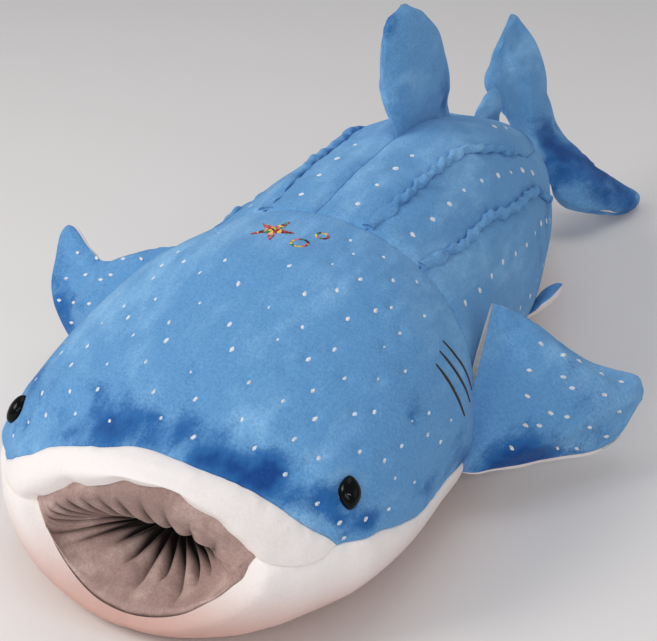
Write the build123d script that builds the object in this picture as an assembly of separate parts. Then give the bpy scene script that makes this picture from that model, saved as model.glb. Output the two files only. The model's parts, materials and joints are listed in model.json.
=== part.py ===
from build123d import *
import math
import os
import random

# A soft toy whale shark, about a metre long, lying on its belly. Millimetres.
# +X is the animal's left, the mouth faces -Y and +Z is up.
# The origin is the middle of the flat stretch of belly that it rests on.

# ---- driving dimensions -------------------------------------------------------------------
SKIN = 2.5              # pile fabric and its backing, pressed by the filling
LINING = 2.0            # thinner fabric inside the mouth
GAP = 0.3               # room between pieces that only lie against each other
FIN_SKIN = 2.0          # fabric of the fins
FIN_GAP = 5.0           # unstuffed strip where a fin is sewn on, which is its hinge
FLOOR = 0.0             # height of the flat rest face
BODY_END = 505          # where the stuffed body ends and the tail fin is sewn on

# The stuffed body, nose to tail: station, half width, top, bottom, widest height,
# squareness above and below that height, and how far the section leans back.
BODY_RINGS = [
    (-333, 96, 132, 22, 86, 2.0, 2.0, 0.10),
    (-327, 130, 145, 9, 82, 2.0, 2.2, 0.10),
    (-298, 152, 154, 3, 82, 2.0, 2.3, 0.08),
    (-260, 169, 173, -1, 83, 2.1, 2.5, 0.04),
    (-180, 178, 205, -3, 83, 2.1, 2.6, 0.0),
    (-96, 175, 229, -4, 82, 2.1, 2.6, 0.0),
    (-8, 152, 233, -4, 81, 2.1, 2.5, 0.0),
    (80, 139, 243, -4, 81, 2.1, 2.4, 0.0),
    (180, 127, 246, -4, 84, 2.1, 2.3, 0.0),
    (280, 110, 227, -1, 85, 2.1, 2.2, 0.0),
    (382, 82, 191, 8, 86, 2.0, 2.1, 0.0),
    (465, 49, 154, 23, 86, 2.0, 2.0, 0.0),
    (BODY_END, 31, 132, 38, 86, 2.0, 2.0, 0.0),
]

# The mouth is a funnel of lining cloth, tied shut at the throat.
MOUTH_RINGS = [
    (-342, 100, 136, 17, 80, 2.0, 2.0, 0.10),
    (-330, 90, 127, 28, 80, 2.0, 2.0, 0.10),
    (-300, 70, 110, 38, 76, 2.0, 2.0, 0.06),
    (-270, 42, 90, 46, 68, 2.0, 2.0, 0.03),
    (-240, 18, 79, 49, 64, 2.0, 2.0, 0.0),
    (-222, 10, 74, 54, 64, 2.0, 2.0, 0.0),
    (-200, 10, 74, 54, 64, 2.0, 2.0, 0.0),
]
THROAT_TIE_Y = -210
THROAT_RADIUS = 10
THROAT_HEIGHT = 64
TIE_THREAD = 1.2

# Seams seen from the side, as (y, z). The lip seam is the front edge of the blue head.
LIP_SEAM = [(-281, 90), (-290, 112), (-295, 135), (-297, 200)]
BELLY_SEAM = [(-400, 88), (-281, 90), (-260, 91), (-226, 80), (-187, 70), (-99, 66), (-72, 48),
              (300, 46), (390, 48), (465, 60), (520, 74)]
OUTER_RIDGE = [(-17, 198), (60, 190), (120, 188), (180, 177), (240, 167), (290, 156),
               (330, 134), (388, 108), (465, 92), (520, 86)]
# The inner ridge seen from above, as (y, x) on the left side.
INNER_RIDGE = [(-17, 51), (60, 56), (130, 57), (200, 64), (250, 69), (310, 69),
               (382, 56), (465, 32), (520, 16)]
NECK_SEAM_Y = -17
RIDGE_HEIGHT = 7.0
RIDGE_HALF_WIDTH = 4.0
INNER_RIDGE_END = 318
OUTER_RIDGE_END = 386

# Safety eyes
EYE_Y = -259
EYE_RAY = Vector(150, 0, 40)       # from the middle of the head out through the eye
EYE_HALF = (9.0, 12.0, 7.0)        # half width, half height, depth of the dome
EYE_STEM = 2.5
EYE_STEM_LENGTH = 13
WASHER_RADIUS = 9.0
WASHER_THICKNESS = 1.5
RUN = 0.1                          # radial room of the stem in its hole

# Embroidery
THREAD = 1.0
HEAD_SPOT = 1.8
BACK_SPOT = 3.2
FIN_SPOT = 1.8
SPOT_HEIGHT = 0.8
SPOT_SEED = 7

nodes = {}


# ---- helpers ------------------------------------------------------------------------------
def ring_point(ring, angle):
    """Point of a body section, with the angle counted from its top."""
    y, half, top, bottom, mid, above, below, lean = ring
    across = math.sin(angle)
    height = math.cos(angle)
    power = 2 / (above if height >= 0 else below)
    rise = top - mid if height >= 0 else mid - bottom
    x = half * math.copysign(abs(across) ** power, across)
    z = mid + rise * math.copysign(abs(height) ** power, height)
    return Vector(x, y + lean * (z - mid), z)


def grown(rings, extra):
    """The same rings moved out by extra, at right angles to the outline seen from above."""
    moved = []
    for index, ring in enumerate(rings):
        before = rings[max(index - 1, 0)]
        after = rings[min(index + 1, len(rings) - 1)]
        along = after[0] - before[0]
        out = after[1] - before[1]
        length = math.hypot(along, out)
        side = extra * along / length
        moved.append((ring[0] - extra * out / length, ring[1] + side, ring[2] + side,
                      ring[3] - side) + ring[4:])
    return moved


def tube_of_rings(rings, points=20):
    sections = []
    for ring in rings:
        outline = [ring_point(ring, 2 * math.pi * k / points) for k in range(points)]
        sections.append(Wire(Spline(*outline, periodic=True)))
    return Solid.make_loft(sections)


def side_prism(outline, x_low=-400, x_high=400):
    """A block whose side view is the (y, z) outline."""
    face = Plane.YZ * make_face(Polyline(*outline, close=True))
    return extrude(face, amount=x_high - x_low).moved(Location((x_low, 0, 0)))


def top_prism(outline):
    """A block whose top view is the (x, y) outline."""
    face = make_face(Polyline(*outline, close=True))
    return extrude(face, amount=600).moved(Location((0, 0, -100)))


def mirrored(shape):
    return mirror(shape, about=Plane.YZ)


def keep(name, shape):
    solids = shape.solids() if hasattr(shape, "solids") else shape
    biggest = max(solid.volume for solid in solids)
    kept = [solid for solid in solids if solid.volume > 0.02 * biggest]
    nodes[name] = kept[0] if len(kept) == 1 else Compound(children=kept)


def keep_group(name, pieces):
    nodes[name] = Compound(children=pieces)


def hit(solid, start, direction):
    """Where a ray leaves a solid, and the outward normal there."""
    found = solid.find_intersection_points(Axis(start, direction))
    place, normal = max(found, key=lambda pair: (pair[0] - start).dot(direction))
    if normal.dot(direction) < 0:
        normal = normal * -1
    return place, normal.normalized()


def disc_on(solid, start, direction, radius):
    place, normal = hit(solid, start, direction)
    seat = Plane(origin=place + normal * 0.15, z_dir=normal)
    return seat * Cylinder(radius, SPOT_HEIGHT, align=(Align.CENTER, Align.CENTER, Align.MIN))


def between(line, value):
    """Straight interpolation along a list of (position, value) pairs."""
    for (a, low), (b, high) in zip(line, line[1:]):
        if value <= b:
            return low + (high - low) * max(value - a, 0) / (b - a)
    return line[-1][1]


# ---- the body's cover, filling and mouth ----------------------------------------------------
outer = tube_of_rings(BODY_RINGS)
inner = tube_of_rings(grown(BODY_RINGS, -SKIN))
filling = tube_of_rings(grown(BODY_RINGS, -SKIN - GAP))
above_floor = side_prism([(-500, FLOOR), (700, FLOOR), (700, 500), (-500, 500)])
above_skin = side_prism([(-500, SKIN), (700, SKIN), (700, 500), (-500, 500)])
above_gap = side_prism([(-500, SKIN + GAP), (700, SKIN + GAP), (700, 500), (-500, 500)])
before_cap = side_prism([(-500, -100), (BODY_END - SKIN, -100), (BODY_END - SKIN, 500), (-500, 500)])
body = outer & above_floor

mouth_hole = tube_of_rings(MOUTH_RINGS)
lining_ring = grown(MOUTH_RINGS, LINING)
lining_outside = tube_of_rings(lining_ring)
throat_cap = side_prism([(-500, -100), (-204, -100), (-204, 500), (-500, 500)])
lining = (lining_outside - (mouth_hole & throat_cap)) & body
lining_room = tube_of_rings(grown(MOUTH_RINGS, LINING + GAP))

skin = body - (inner & above_skin & before_cap) - lining_room
stuffing = (filling & above_gap & before_cap) - lining_room

# The panels of the cover
high = [(600, 500), (-500, 500)]
low = [(600, -100), (-500, -100)]
below_belly_seam = side_prism([(-500, 88)] + BELLY_SEAM + [(600, 86)] + low)
above_belly_seam = side_prism([(-500, 88)] + BELLY_SEAM + [(600, 86)] + high)
lip_side = side_prism([(-500, 88), (-400, 88)] + LIP_SEAM + [(-297, 500), (-500, 500)])
head_side = side_prism([(NECK_SEAM_Y, -100), (-400, -100), (-400, 500), (NECK_SEAM_Y, 500)])
tail_side = side_prism([(NECK_SEAM_Y, -100), (600, -100), (600, 500), (NECK_SEAM_Y, 500)])
above_outer_ridge = side_prism([(-60, 200)] + OUTER_RIDGE + [(600, 86), (600, 500), (-60, 500)])
below_outer_ridge = side_prism([(-60, 200)] + OUTER_RIDGE + [(600, 86), (600, -100), (-60, -100)])
ridge_line = [(x, y) for y, x in INNER_RIDGE]
inside_ridges = top_prism([(0, -60), (48, -60)] + ridge_line + [(16, 600), (0, 600)])
outside_ridges = top_prism([(48, -60)] + ridge_line + [(16, 600), (400, 600), (400, -60)])

upper_skin = skin & above_belly_seam
keep("belly_panel", skin & below_belly_seam)
keep("upper_lip", upper_skin & lip_side)
head_panel = (upper_skin & head_side) - lip_side
back_skin = upper_skin & tail_side
back_panel = back_skin & above_outer_ridge & inside_ridges
flank_upper = back_skin & above_outer_ridge & outside_ridges
left_half = top_prism([(0, -60), (400, -60), (400, 600), (0, 600)])
flank_lower = back_skin & below_outer_ridge & left_half
for name, panel in (("back_panel", back_panel), ("flank_upper", flank_upper),
                    ("flank_lower", flank_lower)):
    keep(name + "_left", panel)
    keep(name + "_right", mirrored(panel))

# The lining is an upper and a lower piece, gathered and tied at the throat
upper_half = side_prism([(-400, 88), (-330, 84), (-270, 68), (-240, 64), (-150, 64), (-150, 300),
                         (-400, 300)])
keep("mouth_lining_upper", lining & upper_half)
keep("mouth_lining_lower", lining - upper_half)
tie_plane = Plane(origin=(0, THROAT_TIE_Y, THROAT_HEIGHT), z_dir=(0, 1, 0))
tie_radius = THROAT_RADIUS + LINING + GAP + TIE_THREAD
keep("throat_tie", tie_plane * Torus(tie_radius, TIE_THREAD))
stuffing -= tie_plane * Cylinder(tie_radius + 2 * TIE_THREAD, 8)

# Raised tucks run along the back, two on each side
ridge_outside = tube_of_rings(grown(BODY_RINGS, RIDGE_HEIGHT))
ridge_seat = tube_of_rings(grown(BODY_RINGS, GAP))
ridge_shell = (ridge_outside - ridge_seat) & left_half
half = RIDGE_HALF_WIDTH
inner_line = [(y, x) for y, x in INNER_RIDGE if y < INNER_RIDGE_END]
inner_line[0] = (NECK_SEAM_Y + 1, inner_line[0][1])
inner_strip = top_prism([(x - half, y) for y, x in inner_line]
                        + [(x + half, y) for y, x in reversed(inner_line)])
outer_line = [(y, z) for y, z in OUTER_RIDGE if y < OUTER_RIDGE_END + 5]
outer_line[0] = (NECK_SEAM_Y + 1, outer_line[0][1])
outer_strip = side_prism([(y, z - half) for y, z in outer_line]
                         + [(y, z + half) for y, z in reversed(outer_line)], 0, 400)
upper_space = side_prism([(-60, 100), (600, 100), (600, 500), (-60, 500)])
for name, strip in (("ridge_inner", inner_strip & upper_space), ("ridge_outer", outer_strip)):
    ridge = ridge_shell & strip
    keep(name + "_left", ridge)
    keep(name + "_right", mirrored(ridge))

# ---- eyes: a dome on a stem, held by a washer behind the cover ----------------------------------
eye_place, eye_normal = hit(body, Vector(0, EYE_Y, 86), EYE_RAY.normalized())
eye_seat = Plane(origin=eye_place + eye_normal * 0.2, x_dir=(0, 1, 0), z_dir=eye_normal)
dome = eye_seat * (scale(Sphere(1), by=EYE_HALF) & Box(40, 40, 20, align=(
    Align.CENTER, Align.CENTER, Align.MIN)))
stem = eye_seat * Cylinder(EYE_STEM, EYE_STEM_LENGTH, align=(Align.CENTER, Align.CENTER, Align.MAX))
stem_hole = eye_seat * Cylinder(EYE_STEM + RUN, 60)
washer_seat = Plane(origin=eye_place - eye_normal * (SKIN + 1.2), x_dir=(0, 1, 0), z_dir=eye_normal)
washer = washer_seat * Cylinder(WASHER_RADIUS, WASHER_THICKNESS,
                                align=(Align.CENTER, Align.CENTER, Align.MAX))
washer -= stem_hole
washer_room = eye_seat * Cylinder(WASHER_RADIUS + 1, 2 * (EYE_STEM_LENGTH + 2))
head_panel = head_panel - stem_hole - mirrored(stem_hole)
stuffing = stuffing - washer_room - mirrored(washer_room)
keep("eye_left", dome + stem)
keep("eye_right", mirrored(dome + stem))
keep("eye_washer_left", washer)
keep("eye_washer_right", mirrored(washer))
keep("head_panel", head_panel)
keep("body_stuffing", stuffing)

# ---- embroidery on the body -------------------------------------------------------------------
# Three gill slits a side, each a run of satin stitch: (y, z) of its two ends and its middle
GILLS = [((-108, 160), (-99, 130), (-96, 112)),
         ((-93, 164), (-80, 136), (-72, 112)),
         ((-79, 166), (-62, 140), (-48, 110))]
left_gills = []
for gill in GILLS:
    run = []
    for y, z in gill:
        place, normal = hit(body, Vector(0, y, z), Vector(1, 0, 0))
        run.append(place + normal * (THREAD + 0.9))
    path = ThreePointArc(*run)
    section = Plane(origin=path @ 0, z_dir=path % 0) * Circle(THREAD)
    left_gills.append(sweep(section, path).solid())
keep_group("gill_stitches_left", left_gills)
keep_group("gill_stitches_right", [mirrored(run) for run in left_gills])


def motif_zone(x, y):
    return abs(x) < 50 and -102 < y < -32


def head_spots():
    """Small dots in rows across the head, a little out of line."""
    rng = random.Random(SPOT_SEED)
    spots = []
    for row in range(11):
        y = -274 + 24 * row
        for step in range(-5, 6):
            tilt = 15.5 * (step + 0.5 * (row % 2)) + rng.uniform(-4, 4)
            place = y + rng.uniform(-7, 7)
            angle = math.radians(tilt)
            near_eye = abs(abs(tilt) - 62) < 12 and abs(place - EYE_Y) < 26
            near_gills = abs(tilt) > 48 and place > -116
            if abs(tilt) > 84 or near_eye or near_gills or place > NECK_SEAM_Y - 8:
                continue
            if motif_zone(170 * math.sin(angle), place):
                continue
            out = Vector(math.sin(angle), 0, math.cos(angle))
            spots.append(disc_on(body, Vector(0, place, 86), out, HEAD_SPOT))
    return spots


def back_spots():
    """Larger dots on the left, one row along the middle of each strip of the back."""
    across = Vector(1, 0, 0)
    spots = []
    for count in range(15):
        y = 4 + 26 * count
        inner_x = between(INNER_RIDGE, y)
        outer_z = between(OUTER_RIDGE, y)
        if not 130 < y < 300:
            spots.append(disc_on(body, Vector(inner_x * 0.5, y, 86), Vector(0, 0, 1), BACK_SPOT))
        if y < 300:
            spots.append(disc_on(body, Vector(0, y, outer_z + 16), across, BACK_SPOT))
        spots.append(disc_on(body, Vector(0, y, outer_z - 24), across, BACK_SPOT))
        if y < 330:
            spots.append(disc_on(body, Vector(0, y, outer_z - 62), across, BACK_SPOT))
    return spots


keep_group("head_spots", head_spots())
left_back_spots = back_spots()
keep_group("back_spots", left_back_spots + [mirrored(spot) for spot in left_back_spots])

# A small starfish with two bubbles, outlined in thread on the head
STAR_CENTRE = (-14, -66)
STAR_RADII = (20, 9)
BUBBLES = [(18, -80, 7), (28, -58, 5)]
motif = []


def on_top(x, y):
    place, normal = hit(body, Vector(x, y, 86), Vector(0, 0, 1))
    return place + normal * (THREAD + 0.3)


def thread_between(start, end):
    whole = end - start
    trimmed = start + whole.normalized() * THREAD * 1.3
    seat = Plane(origin=trimmed, z_dir=whole)
    length = whole.length - 2.6 * THREAD
    return seat * Cylinder(THREAD, length, align=(Align.CENTER, Align.CENTER, Align.MIN))


corners = []
for k in range(10):
    turn = math.radians(36 * k + 90)
    reach = STAR_RADII[k % 2]
    corners.append(on_top(STAR_CENTRE[0] + reach * math.cos(turn), STAR_CENTRE[1] + reach * math.sin(turn)))
for start, end in zip(corners, corners[1:] + corners[:1]):
    motif.append(thread_between(start, end))
for x, y, radius in BUBBLES:
    place, normal = hit(body, Vector(x, y, 86), Vector(0, 0, 1))
    motif.append(Plane(origin=place + normal * (THREAD + 0.4), z_dir=normal) * Torus(radius, THREAD))
keep_group("head_motif", motif)

# ---- fins ------------------------------------------------------------------------------------
fin_room = tube_of_rings(grown(BODY_RINGS, FIN_GAP))


class Fin:
    """A stuffed fin: its root, the way its chord and its span run, and sections along the span.

    Each section is (distance out, start of chord, end of chord, thickness).
    """

    def __init__(self, root, chord, span, sections):
        self.root = Vector(*root)
        self.chord = Vector(*chord).normalized()
        span = Vector(*span)
        self.span = (span - self.chord * span.dot(self.chord)).normalized()
        self.face = self.chord.cross(self.span)
        self.sections = sections

    def solid(self, inset=0.0):
        wires = []
        for out, start, end, thick in self.sections:
            far_end = (out, start, end, thick) == self.sections[-1]
            centre = self.root + self.chord * (start + end) / 2 + self.span * (out - far_end * inset)
            seat = Plane(origin=centre, x_dir=self.chord, z_dir=self.span)
            wires.append((seat * Ellipse((end - start) / 2 - inset, thick / 2 - inset)).wire())
        return Solid.make_loft(wires)

    def side(self, sign):
        seat = Plane(origin=self.root, x_dir=self.chord, z_dir=self.face * sign)
        return seat * Box(900, 900, 300, align=(Align.CENTER, Align.CENTER, Align.MIN))

    def point(self, out, along):
        return self.root + self.chord * along + self.span * out


def add_fin(name, lobes, sides, clear=None, splitters=None):
    """Two sewn faces and the filling between them, cut to stand clear of the body."""
    clear = clear or fin_room
    whole = lobes[0].solid()
    hollow = lobes[0].solid(FIN_SKIN)
    fill = lobes[0].solid(FIN_SKIN + GAP)
    for lobe in lobes[1:]:
        whole += lobe.solid()
        hollow += lobe.solid(FIN_SKIN)
        fill += lobe.solid(FIN_SKIN + GAP)
    cover = (whole - hollow) - clear
    splitters = splitters or (lobes[0].side(1), lobes[0].side(-1))
    for side, splitter in zip(sides, splitters):
        keep(f"{name}_{side}", cover & splitter)
    keep(f"{name}_stuffing", fill - clear)
    return whole


PECTORAL_SECTIONS = [
    (-14, -2, 148, 11), (6, 0, 150, 12), (30, 10, 150, 25), (60, 22, 147, 31), (95, 40, 142, 30),
    (125, 56, 141, 24), (144, 76, 140, 17), (156, 106, 139, 8),
]
PECTORAL_ROOT = (166, -74, 46)
PECTORAL_CHORD = (-0.03, 0.69, 0.72)
PECTORAL_SPAN = (0.71, 0.50, -0.48)
PECTORAL_RAISED = 28    # the right fin lies this much higher than the left one
PELVIC_SECTIONS = [(-8, 2, 50, 7), (4, 2, 52, 8), (12, 5, 53, 12), (20, 11, 53, 11), (26, 22, 52, 5)]
DORSAL_SECTIONS = [
    (-10, -64, 68, 8), (6, -66, 69, 9), (26, -72, 74, 20), (50, -74, 80, 25), (74, -68, 73, 24),
    (94, -56, 57, 19), (107, -38, 40, 12), (112, -20, 22, 6),
]
SECOND_DORSAL_SECTIONS = [
    (-6, -40, 42, 7), (5, -38, 42, 8), (16, -24, 38, 13), (28, -6, 32, 11), (37, 10, 28, 5),
]
TAIL_ROOT = (0, 512, 98)
TAIL_UPPER = [
    (-16, 6, 116, 12), (14, 6, 114, 16), (44, 14, 118, 24), (72, 2, 134, 28), (98, -12, 144, 24),
    (120, 20, 145, 18), (138, 62, 144, 12), (150, 104, 140, 6),
]
TAIL_LOWER = [
    (-16, 6, 116, 12), (14, 8, 114, 16), (40, 18, 117, 24), (66, 12, 124, 26), (90, 26, 138, 22),
    (112, 60, 151, 16), (132, 98, 164, 10), (144, 132, 166, 6),
]

left_pectoral = Fin(PECTORAL_ROOT, PECTORAL_CHORD, PECTORAL_SPAN, PECTORAL_SECTIONS)
right_span = left_pectoral.span.rotate(Axis((0, 0, 0), left_pectoral.chord), -PECTORAL_RAISED)


def mirrored_vector(vector):
    return (-vector.X, vector.Y, vector.Z)


right_pectoral = Fin(mirrored_vector(left_pectoral.root), mirrored_vector(left_pectoral.chord),
                     mirrored_vector(right_span), PECTORAL_SECTIONS)
add_fin("pectoral_left", [left_pectoral], ("top", "underside"),
        splitters=(left_pectoral.side(-1), left_pectoral.side(1)))
add_fin("pectoral_right", [right_pectoral], ("top", "underside"))


def fin_spots(fin, up):
    """Dots scattered over the blue face of a side fin."""
    rng = random.Random(SPOT_SEED + 4)
    solid = fin.solid()
    spots = []
    for out in range(30, 140, 22):
        for along in range(30, 140, 23):
            a = out + rng.uniform(-6, 6)
            b = along + rng.uniform(-6, 6)
            if b > 0.42 * a + 12 and b < 132:
                spots.append(disc_on(solid, fin.point(a, b), fin.face * up, FIN_SPOT))
    return spots


keep_group("pectoral_left_spots", fin_spots(left_pectoral, -1))
keep_group("pectoral_right_spots", fin_spots(right_pectoral, 1))

left_pelvic = Fin((110, 232, 44), (0, 1, 0.05), (0.72, 0.20, 0.62), PELVIC_SECTIONS)
right_pelvic = Fin((-110, 232, 44), (0, 1, 0.05), (-0.72, 0.20, 0.62), PELVIC_SECTIONS)
add_fin("pelvic_left", [left_pelvic], ("top", "underside"),
        splitters=(left_pelvic.side(-1), left_pelvic.side(1)))
add_fin("pelvic_right", [right_pelvic], ("top", "underside"))

dorsal = Fin((0, 217, 240), (0, 0.99, -0.14), (-0.24, 0.14, 0.96), DORSAL_SECTIONS)
add_fin("dorsal", [dorsal], ("left", "right"))
second_dorsal = Fin((0, 394, 186), (0, 0.93, -0.37), (-0.10, 0.36, 0.93), SECOND_DORSAL_SECTIONS)
add_fin("second_dorsal", [second_dorsal], ("left", "right"))

TAIL_LEANS = (24, 49)    # how far the upper lobe leans right and the lower lobe leans left
lean_up = math.radians(TAIL_LEANS[0])
lean_down = math.radians(TAIL_LEANS[1])
tail_upper = Fin(TAIL_ROOT, (0, 1, 0), (-math.sin(lean_up), 0, math.cos(lean_up)), TAIL_UPPER)
tail_lower = Fin(TAIL_ROOT, (0, 1, 0), (math.sin(lean_down), 0, -math.cos(lean_down)), TAIL_LOWER)
up_end = tail_upper.point(400, 0)
down_end = tail_lower.point(400, 0)
tail_view = Plane(origin=(0, 480, 0), x_dir=(1, 0, 0), z_dir=(0, -1, 0))


tail_edge = BODY_END + FIN_GAP
tail_block = side_prism([(400, 10), (tail_edge, 10), (tail_edge, 160), (400, 160)], -70, 70)
tail_room = fin_room + tail_block


def tail_side_block(edge_x):
    outline = [(TAIL_ROOT[0], TAIL_ROOT[2]), (up_end.X, up_end.Z), (edge_x, up_end.Z),
               (edge_x, down_end.Z), (down_end.X, down_end.Z)]
    face = tail_view * make_face(Polyline(*outline, close=True))
    return extrude(face, amount=-300)


add_fin("tail", [tail_upper, tail_lower], ("left", "right"), clear=tail_room,
        splitters=(tail_side_block(500), tail_side_block(-500)))

# ---- write every piece ---------------------------------------------------------------------------
os.makedirs("parts", exist_ok=True)
for name, shape in nodes.items():
    export_step(shape, f"parts/{name}.step")
    print(name, round(shape.volume / 1000, 2), "cm3")
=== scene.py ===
import bpy
import json
import math
import random
import numpy as np
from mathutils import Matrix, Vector, kdtree
from mathutils.bvhtree import BVHTree


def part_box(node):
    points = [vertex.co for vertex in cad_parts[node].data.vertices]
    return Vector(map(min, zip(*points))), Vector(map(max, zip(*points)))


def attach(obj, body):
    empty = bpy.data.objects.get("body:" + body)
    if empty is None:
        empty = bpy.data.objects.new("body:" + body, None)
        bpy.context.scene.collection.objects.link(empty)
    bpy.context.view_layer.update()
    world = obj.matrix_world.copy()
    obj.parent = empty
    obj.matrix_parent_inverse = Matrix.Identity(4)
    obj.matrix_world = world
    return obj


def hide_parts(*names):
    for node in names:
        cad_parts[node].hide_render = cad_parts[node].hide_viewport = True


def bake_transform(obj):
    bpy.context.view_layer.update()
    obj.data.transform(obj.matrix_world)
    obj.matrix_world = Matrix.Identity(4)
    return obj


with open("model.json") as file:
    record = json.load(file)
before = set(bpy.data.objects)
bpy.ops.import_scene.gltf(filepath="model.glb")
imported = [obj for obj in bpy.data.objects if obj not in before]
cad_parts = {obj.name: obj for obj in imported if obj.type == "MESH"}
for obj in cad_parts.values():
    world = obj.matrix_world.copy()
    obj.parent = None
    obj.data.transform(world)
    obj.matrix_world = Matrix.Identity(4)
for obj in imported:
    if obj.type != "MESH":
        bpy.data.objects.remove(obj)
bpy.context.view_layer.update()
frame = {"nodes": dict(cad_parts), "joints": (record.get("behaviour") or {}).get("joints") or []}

mm = 0.001
joints = {joint["name"]: joint for joint in frame["joints"]}
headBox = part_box("head_panel")
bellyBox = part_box("belly_panel")
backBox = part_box("back_panel_left")

# the shape of the stuffed body
# Sections from the lips to the tail on a toy of nominal size, in millimetres:
# place along the body, half width, top, bottom, widest height, squareness above and below,
# lean of the section, and how far its sides lie behind its middle.
body = {
    "rings": {
        0.0: (-331, 94, 131, 23, 87, 2.0, 2.0, 0.12, 16),
        0.5: (-337, 110, 139, 16, 82, 2.0, 2.0, 0.10, 18),
        1.0: (-327, 132, 145, 8, 81, 2.0, 2.2, 0.12, 22),
        1.5: (-298, 152, 152, 4, 81, 2.0, 2.3, 0.12, 16),
        2.0: (-260, 169, 173, 2, 83, 2.1, 2.5, 0.05, 4),
        3.0: (-179, 178, 205, 1, 83, 2.1, 2.6, 0.0, 0),
        4.0: (-97, 176, 229, 0, 82, 2.1, 2.6, 0.0, 0),
        5.0: (-8, 152, 233, 0, 81, 2.1, 2.5, 0.0, 0),
        6.0: (81, 139, 243, 0, 82, 2.1, 2.4, 0.0, 0),
        7.0: (180, 127, 246, 0, 85, 2.1, 2.3, 0.0, 0),
        8.0: (281, 110, 226, 1, 85, 2.1, 2.2, 0.0, 0),
        9.0: (383, 82, 191, 8, 86, 2.0, 2.1, 0.0, 0),
        10.0: (465, 49, 154, 23, 86, 2.0, 2.0, 0.0, 0),
        11.0: (503, 31, 132, 38, 86, 2.0, 2.0, 0.0, 0),
        11.5: (512, 20, 118, 52, 86, 2.0, 2.0, 0.0, 0),
        12.0: (515, 3, 90, 80, 85, 2.0, 2.0, 0.0, 0),
    },
    # seams: lips to head by share of the way round, the rest by station
    "lipSeam": [(-1, 1.45), (-0.57, 1.09), (-0.42, 1.17), (-0.2, 1.23), (0, 1.36),
                (0.25, 1.3), (0.45, 1.3), (0.65, 1.28), (1, 1.5)],
    "neckStation": 4.9,
    "bellyHeight": [(0, 88), (0.5, 87), (1, 82), (1.25, 84), (1.5, 92), (2, 91), (2.5, 80), (3, 71),
                    (3.5, 71), (4, 66), (4.4, 50), (5, 46), (7, 45), (8, 46), (9, 48), (10, 60),
                    (11, 74), (12, 85)],
    "outerHeight": [(4.9, 199), (5.3, 194), (6, 190), (6.5, 189), (7, 177), (7.6, 168), (8.1, 157),
                    (8.5, 134), (9, 110), (10, 94), (11, 90), (12, 86)],
    "innerWidth": [(4.9, 50), (5.5, 54), (6.2, 56), (6.8, 57), (7.3, 64), (8, 69), (8.4, 69),
                   (9, 58), (10, 34), (11, 20), (12, 2)],
    # the mouth's edge sags on the right: degrees round, then how far it moves up and to the left
    "edgeRise": [(-180, 0), (-160, 0), (-95, -1), (-75, -10), (-55, -15), (-30, -12.5), (-14, -7), (0, -1),
                 (15, 2.5), (30, 0), (60, -6), (76, -5), (92, 0), (105, 1), (120, 6), (135, 6), (152, 2.5),
                 (180, 0)],
    "edgeSide": [(-180, 0), (-160, 2.5), (-135, 7), (-115, 6), (-95, 2), (-80, 0), (0, 0), (180, 0)],
    "edgeReach": 0.7,      # stations over which that fades
    "lumps": 2.4,          # unevenness of the filling
    "seamDepth": 3.6,      # how far a seam pulls in
    "seamWidth": 4.5,
}

nominal = {"halfWidth": 178.0, "front": -341.5, "back": 505.0, "crown": 246.0}
widthScale = headBox[1].x / mm / nominal["halfWidth"]
lengthScale = (backBox[1].y - bellyBox[0].y) / mm / (nominal["back"] - nominal["front"])
heightScale = (backBox[1].z - bellyBox[0].z) / mm / nominal["crown"]
print("frame read, body scales", round(widthScale, 3), round(lengthScale, 3), round(heightScale, 3))


def smooth(pairs, at):
    # a curve through (place, value) pairs that doesn't overshoot
    places = np.array([pair[0] for pair in pairs], float)
    values = np.array([pair[1] for pair in pairs], float)
    at = np.asarray(at, float)
    gap = np.diff(places)
    slope = np.diff(values) / gap
    tangent = np.zeros(len(places))
    same = slope[:-1] * slope[1:] > 0
    both = slope[:-1] + slope[1:]
    tangent[1:-1] = np.where(same, 2 * slope[:-1] * slope[1:] / np.where(same, both, 1), 0)
    tangent[0], tangent[-1] = slope[0], slope[-1]
    k = np.clip(np.searchsorted(places, at) - 1, 0, len(gap) - 1)
    t = (at - places[k]) / gap[k]
    start = (2 * t**3 - 3 * t**2 + 1) * values[k] + (t**3 - 2 * t**2 + t) * gap[k] * tangent[k]
    return start + (-2 * t**3 + 3 * t**2) * values[k + 1] + (t**3 - t**2) * gap[k] * tangent[k + 1]


ringStations = sorted(body["rings"])
ringColumns = [[(s, body["rings"][s][k]) for s in ringStations] for k in range(9)]


def section(s):
    return [smooth(column, s) for column in ringColumns]


def bodyPoint(s, phi):
    # s is the station, phi the angle from the top towards the toy's left side
    y, half, top, bottom, mid, above, below, lean, bow = section(s)
    across, height = np.sin(phi), np.cos(phi)
    power = 2 / np.where(height >= 0, above, below)
    side = np.sign(across) * np.abs(across) ** power
    rise = np.sign(height) * np.abs(height) ** power
    z = mid + np.where(height >= 0, top - mid, mid - bottom) * rise
    along = y + lean * (z - mid) + bow * side**2
    degrees = (np.degrees(phi) + 180) % 360 - 180
    near = np.exp(-(s / body["edgeReach"]) ** 2)
    x = half * side + smooth(body["edgeSide"], degrees) * near
    z = z + smooth(body["edgeRise"], degrees) * near
    return np.stack([x * widthScale, along * lengthScale, z * heightScale], -1)


def bodyNormal(s, phi):
    step = 0.01
    ahead = bodyPoint(np.minimum(s + step, 12), phi) - bodyPoint(np.maximum(s - step, 0), phi)
    turning = bodyPoint(s, phi + step) - bodyPoint(s, phi - step)
    normal = np.cross(turning, ahead)
    return normal / np.maximum(np.linalg.norm(normal, axis=-1, keepdims=True), 1e-9)


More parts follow.
